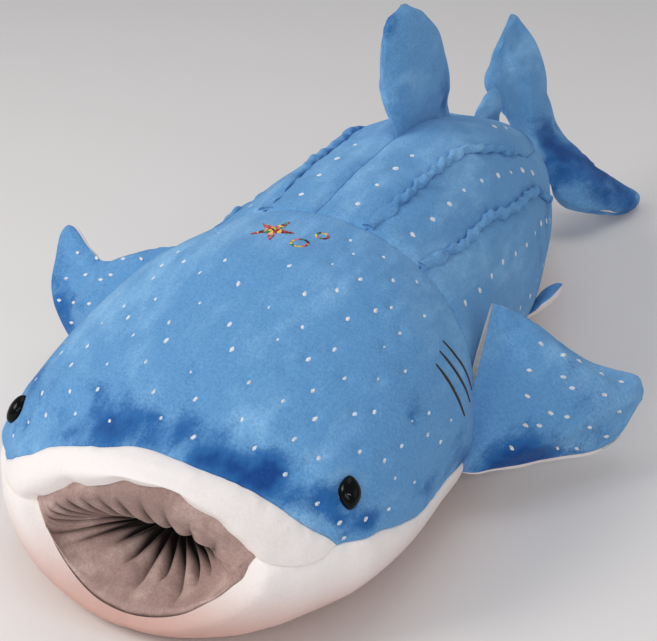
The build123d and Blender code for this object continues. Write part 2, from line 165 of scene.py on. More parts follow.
def angleAtHeight(s, z):
    y, half, top, bottom, mid, above, below, lean, bow = section(s)
    over = np.clip((z - mid) / (top - mid), 0, 1) ** (above / 2)
    under = np.clip((mid - z) / (mid - bottom), 0, 1) ** (below / 2)
    return np.arccos(np.clip(np.where(z >= mid, over, -under), -1, 1))


def angleAtWidth(s, x):
    y, half, top, bottom, mid, above, below, lean, bow = section(s)
    return np.arcsin(np.clip(x / half, 0, 1) ** (above / 2))


def bellySeam(s):
    return angleAtHeight(s, smooth(body["bellyHeight"], s))


def outerRidge(s):
    return angleAtHeight(s, smooth(body["outerHeight"], s))


def innerRidge(s):
    return angleAtWidth(s, smooth(body["innerWidth"], s))


def lipSeam(share):
    return smooth(body["lipSeam"], share)


def lumps(points, size, seed=0):
    # soft noise from -1 to 1, with lumps of about that size in millimetres
    cell = points / size + seed * 17.31
    base = np.floor(cell)
    part = cell - base
    part = part * part * (3 - 2 * part)
    total = np.zeros(len(points))
    for corner in np.ndindex(2, 2, 2):
        spot = base + corner
        mixed = np.sin(spot @ np.array([12.9898, 78.233, 37.719])) * 43758.5453
        weight = np.prod(np.where(np.array(corner) == 1, part, 1 - part), axis=1)
        total += weight * (2 * (mixed - np.floor(mixed)) - 1)
    return total


def nearest(tree, points):
    return np.array([tree.find(point)[2] for point in points])


def treeOf(points):
    tree = kdtree.KDTree(len(points))
    for index, point in enumerate(points):
        tree.insert(point, index)
    tree.balance()
    return tree


# meshes and pieces
def gridFaces(rows, columns, closed=False, first=0):
    faces = []
    wide = columns if closed else columns - 1
    for r in range(rows - 1):
        for c in range(wide):
            a = first + r * columns + c
            b = first + r * columns + (c + 1) % columns
            faces.append((a, b, b + columns, a + columns))
    return faces


surfaces = {}          # finished cloth surfaces to sew on, by what they belong to


def addSurface(kind, points, faces):
    surfaces.setdefault(kind, []).append(BVHTree.FromPolygons([tuple(p) for p in points], faces))


def onSurface(kind, near, normal, reach=16.0):
    # the outermost point of those surfaces along the normal, or the given point where there is none
    best = None
    for tree in surfaces.get(kind, []):
        hit, _, _, away = tree.ray_cast(Vector(near + normal * reach), Vector(-normal), 2 * reach)
        if hit is not None and (best is None or away < best[1]):
            best = (np.array(hit), away)
    return near if best is None else best[0]


def makePiece(name, points, faces, material, rideOn, standsFor=(), levels=0):
    mesh = bpy.data.meshes.new(name)
    mesh.from_pydata((np.asarray(points) * mm).tolist(), [], faces)
    mesh.validate()
    mesh.shade_smooth()
    mesh.materials.append(material)
    piece = bpy.data.objects.new(name, mesh)
    bpy.context.scene.collection.objects.link(piece)
    if levels:
        finer = piece.modifiers.new("finer", "SUBSURF")
        finer.levels = levels
        finer.render_levels = levels
    if isinstance(rideOn, str):
        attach(piece, rideOn)
    else:
        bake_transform(piece)
    if standsFor:
        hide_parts(*standsFor)
    return piece


def addPointValues(piece, name, values):
    attribute = piece.data.attributes.new(name, "FLOAT", "POINT")
    attribute.data.foreach_set("value", np.asarray(values, np.float32))


# finishes
class Signal:
    # one output socket, so that shader maths reads as maths
    def __init__(self, finish, socket):
        self.finish = finish
        self.socket = socket

    def join(self, operation, other, swapped=False):
        pair = {0: other, 1: self} if swapped else {0: self, 1: other}
        return self.finish.node("ShaderNodeMath", {"operation": operation}, pair)

    def __add__(self, other):
        return self.join("ADD", other)

    def __radd__(self, other):
        return self.join("ADD", other, True)

    def __sub__(self, other):
        return self.join("SUBTRACT", other)

    def __rsub__(self, other):
        return self.join("SUBTRACT", other, True)

    def __mul__(self, other):
        return self.join("MULTIPLY", other)

    def __rmul__(self, other):
        return self.join("MULTIPLY", other, True)


class Finish:
    def __init__(self, name):
        self.material = bpy.data.materials.new(name)
        self.material.use_nodes = True
        self.tree = self.material.node_tree
        self.shader = next(n for n in self.tree.nodes if n.type == "BSDF_PRINCIPLED")

    def node(self, kind, settings=None, sockets=None, output=0):
        made = self.tree.nodes.new(kind)
        for key, value in (settings or {}).items():
            if key == "stops":
                self.setStops(made.color_ramp, value)
            else:
                setattr(made, key, value)
        for key, value in (sockets or {}).items():
            self.feed(made.inputs[key], value)
        return Signal(self, made.outputs[output])

    def setStops(self, ramp, stops):
        while len(ramp.elements) < len(stops):
            ramp.elements.new(0.5)
        for element, (place, colour) in zip(ramp.elements, stops):
            element.position = place
            element.color = (*colour, 1)

    def feed(self, socket, value):
        if isinstance(value, Signal):
            self.tree.links.new(value.socket, socket)
        else:
            socket.default_value = value

    def set(self, **values):
        for key, value in values.items():
            self.feed(self.shader.inputs[key.replace("_", " ")], value)

    def places(self):
        return self.node("ShaderNodeTexCoord", output="Object")

    def stretched(self, places, scale):
        return self.node("ShaderNodeMapping", sockets={"Vector": places, "Scale": scale})

    def noise(self, places, scale, detail=2.0, roughness=0.5):
        return self.node("ShaderNodeTexNoise", sockets={
            "Vector": places, "Scale": scale, "Detail": detail, "Roughness": roughness})

    def ramp(self, value, low, high):
        # 0 below low, 1 above high
        return self.node("ShaderNodeMapRange", {"interpolation_type": "SMOOTHSTEP"},
                         {"Value": value, "From Min": low, "From Max": high})

    def blendColours(self, share, first, second):
        return self.node("ShaderNodeMix", {"data_type": "RGBA"}, {0: share, 6: first, 7: second}, output=2)

    def bump(self, height, strength, distance, under=None):
        sockets = {"Height": height, "Strength": strength, "Distance": distance}
        if under is not None:
            sockets["Normal"] = under
        return self.node("ShaderNodeBump", sockets=sockets)


def colour(red, green, blue):
    # everyday screen values, 0 to 255, as the linear colours that shaders take
    linear = [(v / 255 / 12.92) if v < 11 else ((v / 255 + 0.055) / 1.055) ** 2.4
              for v in (red, green, blue)]
    return (*linear, 1)


bluePlush = {
    "main": (108, 166, 217),
    "brushed": (146, 200, 242),      # pile lying towards the light
    # the two darkest colours: crushed is crushed pile and also painted shade, the next one is painted deep
    # shade
    "crushed": (44, 106, 172),       # pile pushed the other way
    "deepShade": (16, 66, 138),
    "fuzz": 1500.0,
    "sheen": 0.35,
}
whitePlush = {
    "main": (246, 241, 239),
    "shade": (234, 220, 214),
    # under: painted warm shade, the floor's bounce, where the cloth faces the ground
    "under": (204, 160, 148),        # where it faces the ground
    "fuzz": 1500.0,
    "sheen": 0.25,
}
liningCloth = {
    "main": (174, 145, 138),
    "light": (216, 190, 181),
    "dark": (108, 84, 78),
    "sheen": 0.5,
}


def makeBluePlush():
    finish = Finish("bluePlush")
    places = finish.places()
    lengthways = finish.stretched(places, (1.0, 0.35, 1.0))
    broad = finish.noise(lengthways, 14.0, 3.0, 0.55)
    streaks = finish.noise(lengthways, 60.0, 4.0, 0.6)
    grain = finish.noise(places, bluePlush["fuzz"], 2.0, 0.7)
    speckle = finish.noise(places, 420.0, 3.0, 0.75)
    nap = finish.node("ShaderNodeAttribute", {"attribute_name": "nap"}, output="Fac")
    light = finish.ramp(broad * 0.65 + streaks * 0.35, 0.45, 0.68)
    base = finish.blendColours(light, colour(*bluePlush["main"]), colour(*bluePlush["brushed"]))
    # the attribute holds crushed pile and painted shade; it darkens to the crushed colour and, at its
    # highest, to painted deep shade
    edge = nap + (streaks - 0.5) * 1.3 + (speckle - 0.5) * 0.35
    base = finish.blendColours(finish.ramp(edge, 0.2, 0.85), base, colour(*bluePlush["crushed"]))
    base = finish.blendColours(finish.ramp(edge, 0.8, 1.25), base, colour(*bluePlush["deepShade"]))
    mottle = finish.ramp(speckle, 0.3, 0.72)
    base = finish.blendColours(mottle * 0.34, base, colour(*bluePlush["crushed"]))
    fibres = finish.bump(grain, 0.5, 0.0008)
    pile = finish.bump(speckle * 0.65 + streaks * 0.35, 0.55, 0.0024, fibres)
    finish.set(Base_Color=base, Roughness=0.85, Normal=pile, Sheen_Weight=bluePlush["sheen"],
               Sheen_Roughness=0.35, Sheen_Tint=colour(170, 205, 240), Specular_IOR_Level=0.2)
    return finish.material


def makeWhitePlush():
    finish = Finish("whitePlush")
    places = finish.places()
    broad = finish.noise(places, 16.0, 3.0, 0.55)
    grain = finish.noise(places, whitePlush["fuzz"], 2.0, 0.7)
    speckle = finish.noise(places, 380.0, 3.0, 0.7)
    nap = finish.node("ShaderNodeAttribute", {"attribute_name": "nap"}, output="Fac")
    tone = finish.ramp(broad * 0.6 + speckle * 0.4, 0.42, 0.7)
    base = finish.blendColours(tone * 0.4, colour(*whitePlush["main"]), colour(*whitePlush["shade"]))
    # painted warm shade: the under colour is mixed in where the attribute read above is high
    base = finish.blendColours(finish.ramp(nap, 0.1, 1.0), base, colour(*whitePlush["under"]))
    pile = finish.bump(speckle, 0.3, 0.0012, finish.bump(grain, 0.3, 0.0006))
    finish.set(Base_Color=base, Roughness=0.9, Normal=pile, Sheen_Weight=whitePlush["sheen"],
               Sheen_Roughness=0.4, Sheen_Tint=colour(255, 245, 240), Specular_IOR_Level=0.2)
    return finish.material


def makeLining():
    finish = Finish("mouthLining")
    places = finish.places()
    broad = finish.noise(places, 45.0, 4.0, 0.6)
    speckle = finish.noise(places, 500.0, 3.0, 0.7)
    depth = finish.node("ShaderNodeAttribute", {"attribute_name": "depth"}, output="Fac")
    base = finish.blendColours(finish.ramp(broad, 0.4, 0.75) * 0.7, colour(*liningCloth["main"]),
                               colour(*liningCloth["light"]))
    base = finish.blendColours(finish.ramp(speckle, 0.4, 0.75) * 0.35, base, colour(*liningCloth["dark"]))
    # painted shade: pleat valleys, the upper curtain and the throat darken towards near black
    base = finish.blendColours(finish.ramp(depth, 0.12, 1.0), base, colour(26, 18, 17))
    pile = finish.bump(speckle * 0.5 + broad * 0.5, 0.4, 0.0014)
    finish.set(Base_Color=base, Roughness=0.7, Normal=pile, Sheen_Weight=liningCloth["sheen"],
               Sheen_Roughness=0.3, Sheen_Tint=colour(235, 215, 205), Specular_IOR_Level=0.3)
    return finish.material


def makeThread(name, shade, gloss=0.45):
    finish = Finish(name)
    places = finish.places()
    strands = finish.noise(places, 2600.0, 2.0, 0.6)
    tone = finish.noise(places, 300.0, 2.0, 0.5)
    dark = tuple(int(v * 0.72) for v in shade)
    base = finish.blendColours(finish.ramp(tone, 0.4, 0.75) * 0.6, colour(*shade), colour(*dark))
    finish.set(Base_Color=base, Roughness=gloss, Normal=finish.bump(strands, 0.4, 0.0002),
               Sheen_Weight=0.2, Specular_IOR_Level=0.5)
    return finish.material


def makeVariegatedThread():
    # one thread dyed in short lengths of several colours
    finish = Finish("variegatedThread")
    places = finish.places()
    lengths = finish.node("ShaderNodeTexVoronoi", {"voronoi_dimensions": "3D"},
                          {"Vector": places, "Scale": 360.0}, output="Color")
    pick = finish.node("ShaderNodeSeparateColor", sockets={0: lengths})
    dyes = finish.node("ShaderNodeValToRGB", {"stops": [
        (0.0, colour(190, 40, 50)[:3]), (0.3, colour(240, 215, 90)[:3]), (0.5, colour(40, 140, 90)[:3]),
        (0.65, colour(225, 120, 150)[:3]), (0.82, colour(30, 30, 40)[:3])]}, {0: pick})
    dyes.socket.node.color_ramp.interpolation = "CONSTANT"
    strands = finish.noise(places, 2600.0)
    finish.set(Base_Color=dyes, Roughness=0.4, Normal=finish.bump(strands, 0.4, 0.0002))
    return finish.material


def makePlastic(name, shade, roughness, shine):
    finish = Finish(name)
    places = finish.places()
    wear = finish.noise(places, 900.0, 3.0)
    lighter = tuple(min(255, v + 6) for v in shade)
    base = finish.blendColours(finish.ramp(wear, 0.5, 0.8), colour(*shade), colour(*lighter))
    finish.set(Base_Color=base, Roughness=finish.ramp(wear, 0.2, 0.9) * 0.03 + roughness,
               Specular_IOR_Level=shine)
    return finish.material


def makeFilling():
    finish = Finish("fibreFilling")
    places = finish.places()
    strands = finish.noise(places, 240.0, 5.0, 0.7)
    base = finish.blendColours(finish.ramp(strands, 0.35, 0.7), colour(240, 240, 236), colour(214, 214, 210))
    finish.set(Base_Color=base, Roughness=0.95, Normal=finish.bump(strands, 0.6, 0.003))
    return finish.material


finishes = {
    "blue": makeBluePlush(),
    "white": makeWhitePlush(),
    "lining": makeLining(),
    "spotThread": makeThread("spotThread", (236, 240, 245)),
    "gillThread": makeThread("gillThread", (16, 16, 20)),
    "tieThread": makeThread("tieThread", (90, 78, 74)),
    "motifThread": makeVariegatedThread(),
    "eye": makePlastic("polishedEye", (4, 4, 5), 0.05, 0.16),
    "washer": makePlastic("washerPlastic", (215, 215, 210), 0.5, 0.5),
    "filling": makeFilling(),
}
print("finishes made:", len(finishes))

# embroidered dots: where they are and how large
dots = {
    "seed": 7,
    "headRows": 12,
    "headStart": -286,
    "headPitch": 24.0,
    "headTurn": 13.5,                # degrees between the dots of a row
    "headSize": (1.9, 2.8),          # half width, half length
    "backRows": 11,
    "backStart": 12,
    "backPitch": 38.0,
    "backSize": (3.4, 5.3),
    "finSize": (1.7, 2.7),
    "lastStation": 10.2,
    "dimple": 2.4,
}


def stationAt(y):
    # station whose middle lies at that place along the body
    stations = np.linspace(1.0, 11, 400)
    return float(np.interp(y, section(stations)[0], stations))


def headDots():
    rng = random.Random(dots["seed"])
    found = []
    for row in range(dots["headRows"]):
        y = dots["headStart"] + dots["headPitch"] * row
        for step in range(-6, 7):
            degrees = dots["headTurn"] * (step + 0.5 * (row % 2)) + rng.uniform(-3.5, 3.5)
            place = y + rng.uniform(-6, 6)
            s = stationAt(place)
            phi = math.radians(degrees)
            x = 170 * math.sin(phi)
            if abs(degrees) > 82 or s > body["neckStation"] - 0.12:
                continue
            if s < float(lipSeam(degrees / 88)) + 0.12:
                continue
            nearEye = abs(abs(degrees) - 62) < 9 and abs(place + 259) < 20
            nearMotif = abs(x) < 46 and -104 < place < -34
            nearGills = abs(degrees) > 50 and place > -116
            if nearEye or nearMotif or nearGills:
                continue
            found.append((s, phi))
    return found


def backDots():
    found = []
    for count in range(dots["backRows"]):
        place = dots["backStart"] + dots["backPitch"] * count
        s = stationAt(place)
        inner, outer, belly = float(innerRidge(s)), float(outerRidge(s)), float(bellySeam(s))
        for side in (-1, 1):
            underDorsal = 135 < place < 300
            if not underDorsal and place < 385:
                found.append((s, side * inner * 0.5))
            if place < 345:
                found.append((s, side * (inner + outer) / 2))
            if place < 380:
                found.append((s, side * (outer + (belly - outer) * 0.26)))
            if place < 330:
                found.append((s, side * (outer + (belly - outer) * 0.58)))
    return found


headDotPlaces = headDots()
backDotPlaces = backDots()
allDots = np.array(headDotPlaces + backDotPlaces)
dotTree = treeOf(bodyPoint(allDots[:, 0], allDots[:, 1]))
print("dots placed:", len(headDotPlaces), "on the head,", len(backDotPlaces), "on the back")

# the safety eyes, which the cover dips round
eyes = {"station": 1.93, "angle": 62.0, "halfWidth": 8.8, "halfHeight": 12.2, "bulge": 7.0,
        "level": (0.894, 0.448),      # direction across the left eye
        # from the top of the dome out to its rim: share of the half size, share of the bulge
        "dome": [(0.06, 1.0), (0.2, 0.985), (0.36, 0.95), (0.52, 0.885), (0.66, 0.79), (0.78, 0.67),
                 (0.87, 0.54), (0.94, 0.39), (0.985, 0.22), (1.0, 0.08), (1.0, -0.08), (0.985, -0.22),
                 (0.94, -0.32), (0.6, -0.36)],
        "stemRadius": 2.4, "stemDepths": (-3.0, -14.0)}
eyeAngles = [math.radians(eyes["angle"]) * side for side in (1, -1)]
eyeCentres = bodyPoint(np.full(2, eyes["station"]), np.array(eyeAngles))


def seamPoints():
    # the seams of the cover, dense enough to measure distances from
    rows = np.linspace(body["neckStation"], 11.8, 420)
    wholeLength = np.linspace(0, 11.8, 700)
    share = np.linspace(-1, 1, 260)
    lip = lipSeam(share)
    neck = np.full(260, body["neckStation"])
    ends = bellySeam(neck[0])
    lines = [(lip, share * bellySeam(lip)), (neck, np.linspace(-ends, ends, 260))]
    for side in (1, -1):
        lines.append((rows, side * innerRidge(rows)))
        lines.append((rows, side * outerRidge(rows)))
        lines.append((wholeLength, side * bellySeam(wholeLength)))
    lines.append((rows, rows * 0))
    return [bodyPoint(s, phi) for s, phi in lines]


seamLines = seamPoints()
seamTree = treeOf(np.concatenate(seamLines))
ridgeTree = treeOf(np.concatenate([line for line in seamLines[2:-1] if abs(line[0, 2] - 60) > 60]))
chinSeam = np.linspace(0, 2.2, 120)
chinTree = treeOf(bodyPoint(chinSeam, np.full(120, math.pi)))

# where gathered threads dent the lip's inner edge: degrees from the top, depth, width
lipDents = [(-34, 4.0, 7), (-3, 3.2, 6), (22, 5.0, 7), (47, 2.4, 7)]
# where the cloth is drawn dark, as crushed pile and as painted shade: station, degrees round, radius in
# millimetres, strength
crushAndShadePatches = [
    (1.48, 20, 24, 0.9), (1.5, 38, 24, 1.1), (1.62, 60, 18, 0.8), (1.9, 80, 22, 0.7), (2.9, 88, 26, 0.5),
    (1.56, 2, 30, 0.85), (1.56, -18, 30, 0.95), (3.9, 96, 34, 0.7), (2.6, -62, 40, 0.35), (3.2, 60, 26, 0.25),
    (9.6, 30, 60, 0.7), (9.4, -50, 60, 0.6), (7.5, 95, 50, 0.35), (5.4, 92, 40, 0.45),
    (1.9, -48, 30, 0.4), (4.2, -80, 40, 0.3), (6.5, -85, 60, 0.4), (8.2, 70, 50, 0.3),
]
patchPlaces = [bodyPoint(np.array([s]), np.radians([a]))[0] for s, a, r, k in crushAndShadePatches]


def crushAndShadeAmount(points):
    total = np.zeros(len(points))
    for centre, (s, a, radius, strength) in zip(patchPlaces, crushAndShadePatches):
        away = np.linalg.norm(points - centre, axis=1)
        total += strength * np.exp(-(away / radius) ** 2)
    total = total * (0.85 + 0.6 * lumps(points * np.array([1, 0.5, 1]), 17, 12)) + 0.16 * lumps(points, 38, 5)
    # painted shadow round each embroidered dot
    dotShadow = np.exp(-(nearest(dotTree, points) / 4.5) ** 2)
    return total + 0.14 * lumps(points, 13, 6) + 0.16 * dotShadow


# how the cloth lies over the filling: heights in millimetres
coverLie = {
    "pucker": 0.9,           # beside the seams
    "softLumps": 0.8,
    "wrinkle": 0.45,
    "gather": 1.9,           # beside the ridges
    "chin": 2.2,             # the chin's seam pulls in
    "eyeSink": 3.2,          # the eyes pull the cover in, over that distance
    "eyeReach": 15,
    "lipReach": 0.55,        # stations over which the lip's dents fade
}


def coverOffset(points, s, phi):
    # how far the cover stands off the smooth body, seams, puckers and dimples included
    away = nearest(seamTree, points)
    seam = -body["seamDepth"] * np.exp(-away / body["seamWidth"])
    puckers = coverLie["pucker"] * lumps(points, 7, 1) * np.exp(-(away / 13) ** 1.3)
    filling = body["lumps"] * lumps(points, 95, 2) + coverLie["softLumps"] * lumps(points, 34, 3)
    filling = filling * (1 - np.exp(-away / 16))
    wrinkles = coverLie["wrinkle"] * lumps(points * np.array([1, 0.35, 1]), 13, 4)
    fromRidge = nearest(ridgeTree, points)
    gathers = lumps(points * np.array([0.22, 1, 0.22]), 8, 9)
    gathers += 0.5 * lumps(points * np.array([0.3, 1, 0.3]), 15, 10)
    behindNeck = smoothStep((points[:, 1] - 10) / 60)
    wrinkles += coverLie["gather"] * gathers * np.exp(-fromRidge / 17) * behindNeck
    dimple = -dots["dimple"] * np.exp(-(nearest(dotTree, points) / 4.2) ** 1.5)
    offset = seam + puckers + filling + wrinkles + dimple
    offset += -coverLie["chin"] * np.exp(-nearest(chinTree, points) / 3.5)
    for centre in eyeCentres:
        fromEye = np.linalg.norm(points - centre, axis=1)
        offset += -coverLie["eyeSink"] * np.exp(-(fromEye / coverLie["eyeReach"]) ** 2)
    degrees = np.degrees(phi)
    rim = np.exp(-(s / coverLie["lipReach"]) ** 2)
    for middle, depth, width in lipDents:
        turn = (degrees - middle + 180) % 360 - 180
        offset += -depth * rim * np.exp(-(turn / width) ** 2)
    nearGround = smoothStep((points[:, 2] - 1.0) / 14)
    return offset * np.clip(nearGround, 0.0, 1)


def smoothStep(t):
    t = np.clip(t, 0, 1)
    return t * t * (3 - 2 * t)


def spaced(count, crowding=0.5):
    t = np.linspace(0, 1, count)
    return t - crowding * np.sin(2 * math.pi * t) / (2 * math.pi)


def hemmed(values, hems):
    # repeats the first and last value, with how deep each repeat is tucked in
    low, high = hems
    places = np.concatenate([[values[0]] * len(low), values, [values[-1]] * len(high)])
    tucks = np.concatenate([low, np.zeros(len(values)), high[::-1]])
    return places, tucks


hem = [8.0, 4.5, 2.0]
mouthHem = [2.5, 1.2, 0.4]


def coverPatch(sRange, phiRange, rows, columns, hems):
    # sRange takes the share across and gives two stations, phiRange takes stations and gives two angles
    along, tuckA = hemmed(spaced(rows), hems[0])
    across, tuckB = hemmed(spaced(columns), hems[1])
    b, a = np.meshgrid(across, along)
    low, high = sRange(b)
    s = low + (high - low) * a
    left, right = phiRange(s)
    phi = left + (right - left) * b
    tuck = np.maximum(*np.meshgrid(tuckB, tuckA)) * np.clip(s / 0.35, 0.15, 1)
    s, phi, tuck = s.ravel(), phi.ravel(), tuck.ravel()
    points = bodyPoint(s, phi)
    normals = bodyNormal(s, phi)
    lifted = points + normals * (coverOffset(points, s, phi) - tuck)[:, None]
    lifted[:, 2] = np.maximum(lifted[:, 2], 0.0)
    return lifted, gridFaces(len(along), len(across)), points


# share of the full mesh density
detail = 1.0


def dense(count):
    return max(8, int(count * detail))


def makeCover():
    neck = body["neckStation"]
    end = ringStations[-1]

    def headToNeck(b):
        return lipSeam(2 * b - 1), np.full_like(b, neck)

    def mouthToHead(b):
        return np.zeros_like(b), lipSeam(2 * b - 1)

    def neckToTail(b):
        return np.full_like(b, neck), np.full_like(b, end)

    def wholeWay(b):
        return np.zeros_like(b), np.full_like(b, end)

    patches = {
        "upperLip": (mouthToHead, lambda s: (-bellySeam(s), bellySeam(s)), 34, 200, "white",
                     ("upper_lip",)),
        "headPanel": (headToNeck, lambda s: (-bellySeam(s), bellySeam(s)), 130, 200, "blue",
                      ("head_panel",)),
        "bellyPanel": (wholeWay, lambda s: (bellySeam(s), 2 * math.pi - bellySeam(s)), 280, 130,
                       "white", ("belly_panel",)),
    }
    for name, side in (("left", 1), ("right", -1)):
        back = (lambda s, k=side: (k * 0 * s, k * innerRidge(s)))
        upper = (lambda s, k=side: (k * innerRidge(s), k * outerRidge(s)))
        lower = (lambda s, k=side: (k * outerRidge(s), k * bellySeam(s)))
        patches["backPanel_" + name] = (neckToTail, back, 180, 28, "blue", ("back_panel_" + name,))
        patches["flankUpper_" + name] = (neckToTail, upper, 180, 28, "blue", ("flank_upper_" + name,))
        patches["flankLower_" + name] = (neckToTail, lower, 180, 60, "blue", ("flank_lower_" + name,))
    for name, (sRange, phiRange, rows, columns, kind, nodes) in patches.items():
        hems = ((mouthHem if sRange in (mouthToHead, wholeWay) else hem, hem), (hem, hem))
        points, faces, flat = coverPatch(sRange, phiRange, dense(rows), dense(columns), hems)
        if name.endswith("_right"):
            faces = [face[::-1] for face in faces]
        faces = [face[::-1] for face in faces]
        addSurface("cover", points, faces)
        piece = makePiece(name, points, faces, finishes[kind], "trunk", nodes, levels=1)
        if kind == "blue":
            addPointValues(piece, "nap", crushAndShadeAmount(flat))
        else:
            # painted shade: the white cloth takes the warm under colour towards the bottom
            low = np.clip((90 - flat[:, 2]) / 80, 0, 1)
            addPointValues(piece, "nap", low)


makeCover()
print("cover made")

# mouth lining
lining = {
    # share of the way in: place along, half width, top and bottom
    "shape": [(0.0, -331, 94, 112, 23), (0.12, -323, 88, 106, 29), (0.25, -313, 79, 94, 35),
              (0.4, -301, 65, 84, 43), (0.58, -286, 47, 77, 51), (0.75, -273, 29, 72, 57),
              (0.9, -260, 14, 70, 60), (1.0, -248, 9, 69, 60), (1.25, -206, 7, 70, 58)],
    # pleats: degrees from the top, start of the fold, depth in millimetres, width in degrees
    "pleats": [(-80, 0.05, 9, 4), (-68, 0.02, 9, 4), (-55, 0.02, 9, 4), (-43, 0.02, 10, 3.5),
               (-31, 0.02, 10, 3.5), (-19, 0.02, 9, 3.5), (-8, 0.02, 10, 3.5), (5, 0.02, 9, 3.5),
               (18, 0.02, 8, 4), (33, 0.04, 8, 4), (52, 0.05, 8, 5), (76, 0.1, 7, 5),
               (104, 0.4, 12, 5), (126, 0.3, 13, 5), (143, 0.22, 14, 4.5), (158, 0.06, 13, 4),
               (171, 0.2, 14, 4), (184, 0.08, 12, 4), (199, 0.24, 12, 5), (220, 0.36, 10, 6),
               (241, 0.15, 8, 6), (258, 0.05, 9, 5)],
}


def liningShape(t):
    # place along the body, half width, top and bottom, that share of the way in
    return [smooth([(row[0], row[k]) for row in lining["shape"]], t) for k in (1, 2, 3, 4)]


def liningGrid(startDegrees, endDegrees, columns, rows=64):
    share = np.concatenate([np.linspace(0, 0.1, 7)[:-1], np.linspace(0.1, 1.25, rows - 6)])
    degrees = np.linspace(startDegrees, endDegrees, columns)
    deg, t = np.meshgrid(degrees, share)
    deg, t = deg.ravel(), t.ravel()
    phi = np.radians(deg)
    place, half, top, bottom = liningShape(t)
    mid = (top + bottom) / 2
    rise = (top - bottom) / 2
    edge = bodyPoint(np.zeros_like(t), phi)
    shaped = np.stack([half * np.sin(phi), place, mid + rise * np.cos(phi)], -1)
    follow = np.exp(-(t / 0.16) ** 2)[:, None]
    out = np.stack([np.sin(phi), 0 * phi, np.cos(phi)], -1)
    # the edge itself is tucked behind the lip
    hidden = np.exp(-(t / 0.035) ** 2)[:, None]
    start = edge + (out * 6 + np.array([0, 5, 0])) * hidden
    points = shaped * (1 - follow) + start * follow
    fade = np.clip(1 - (t - 0.8) / 0.3, 0, 1)
    shift = np.zeros_like(t)
    shade = np.zeros_like(t)
    for middle, begin, depth, width in lining["pleats"]:
        turn = (deg - middle + 180) % 360 - 180
        grown = smoothStep((t - begin) / 0.3)
        fold = np.exp(-np.abs(turn) / width)
        shift += depth * grown * fold * fade
        # painted shade in each pleat's valley
        shade += grown * np.exp(-np.abs(turn) / (width * 0.7)) * 0.7
    shift += -4.5 * smoothStep(t / 0.12) * fade
    shift += 0.8 * lumps(points, 9, 8) * fade
    points = points + out * shift[:, None]
    # painted shade over the upper curtain, deepening into the throat
    curtainShade = 0.3 * np.clip((80 - np.abs(deg)) / 25, 0, 1) * smoothStep(t / 0.06)
    depth = np.clip(shade * 0.9 + curtainShade + smoothStep((t - 0.4) / 0.4) * 0.95, 0, 1.1)
    return points, gridFaces(rows, columns), depth


def makeLiningPieces():
    spans = {"liningUpper": (-92, 92, "mouth_lining_upper"), "liningLower": (88, 272, "mouth_lining_lower")}
    for name, (start, end, node) in spans.items():
        points, faces, depth = liningGrid(start, end, dense(260), dense(110))
        piece = makePiece(name, points, faces, finishes["lining"], "trunk", (node,), levels=1)
        # these values are painted shade
        addPointValues(piece, "depth", depth)


makeLiningPieces()
print("mouth lining made")

# ridges along the back
ridges = {
    "inner": {"line": innerRidge, "from": 4.93, "to": 8.35},
    "outer": {"line": outerRidge, "from": 4.93, "to": 9.0},
    "radius": 3.7,
    "flatStart": 62.0,   # length of the flat fold before it gathers into a rope
    "twist": 46.0,       # length of one turn of the rope
    "around": 14,        # points round the rope
}


def lengthsAlong(line):
    return np.concatenate([[0], np.cumsum(np.linalg.norm(np.diff(line, axis=0), axis=1))])


def waves(length, size, seed, row=0):
    # soft noise along a line
    return lumps(np.stack([length, length * 0 + row, length * 0], -1), size, seed)


def ropeAlong(centres, normals, radii, flats, turns):
    # a tube with a lobed, slowly turning section
    tangents = np.gradient(centres, axis=0)
    tangents /= np.linalg.norm(tangents, axis=1, keepdims=True)
    sides = np.cross(tangents, normals)
    sides /= np.linalg.norm(sides, axis=1, keepdims=True)
    ups = np.cross(sides, tangents)
    points = []
    around = ridges["around"]
    for k in range(around):
        angle = 2 * math.pi * k / around
        lobe = 1 + 0.26 * np.cos(2 * (angle - turns)) + 0.10 * np.cos(3 * angle + 1.7 * turns)
        across = np.cos(angle) * radii * lobe * flats[:, 0]
        upward = np.sin(angle) * radii * lobe * flats[:, 1]
        points.append(centres + sides * across[:, None] + ups * upward[:, None])
    return np.stack(points, 1).reshape(-1, 3)


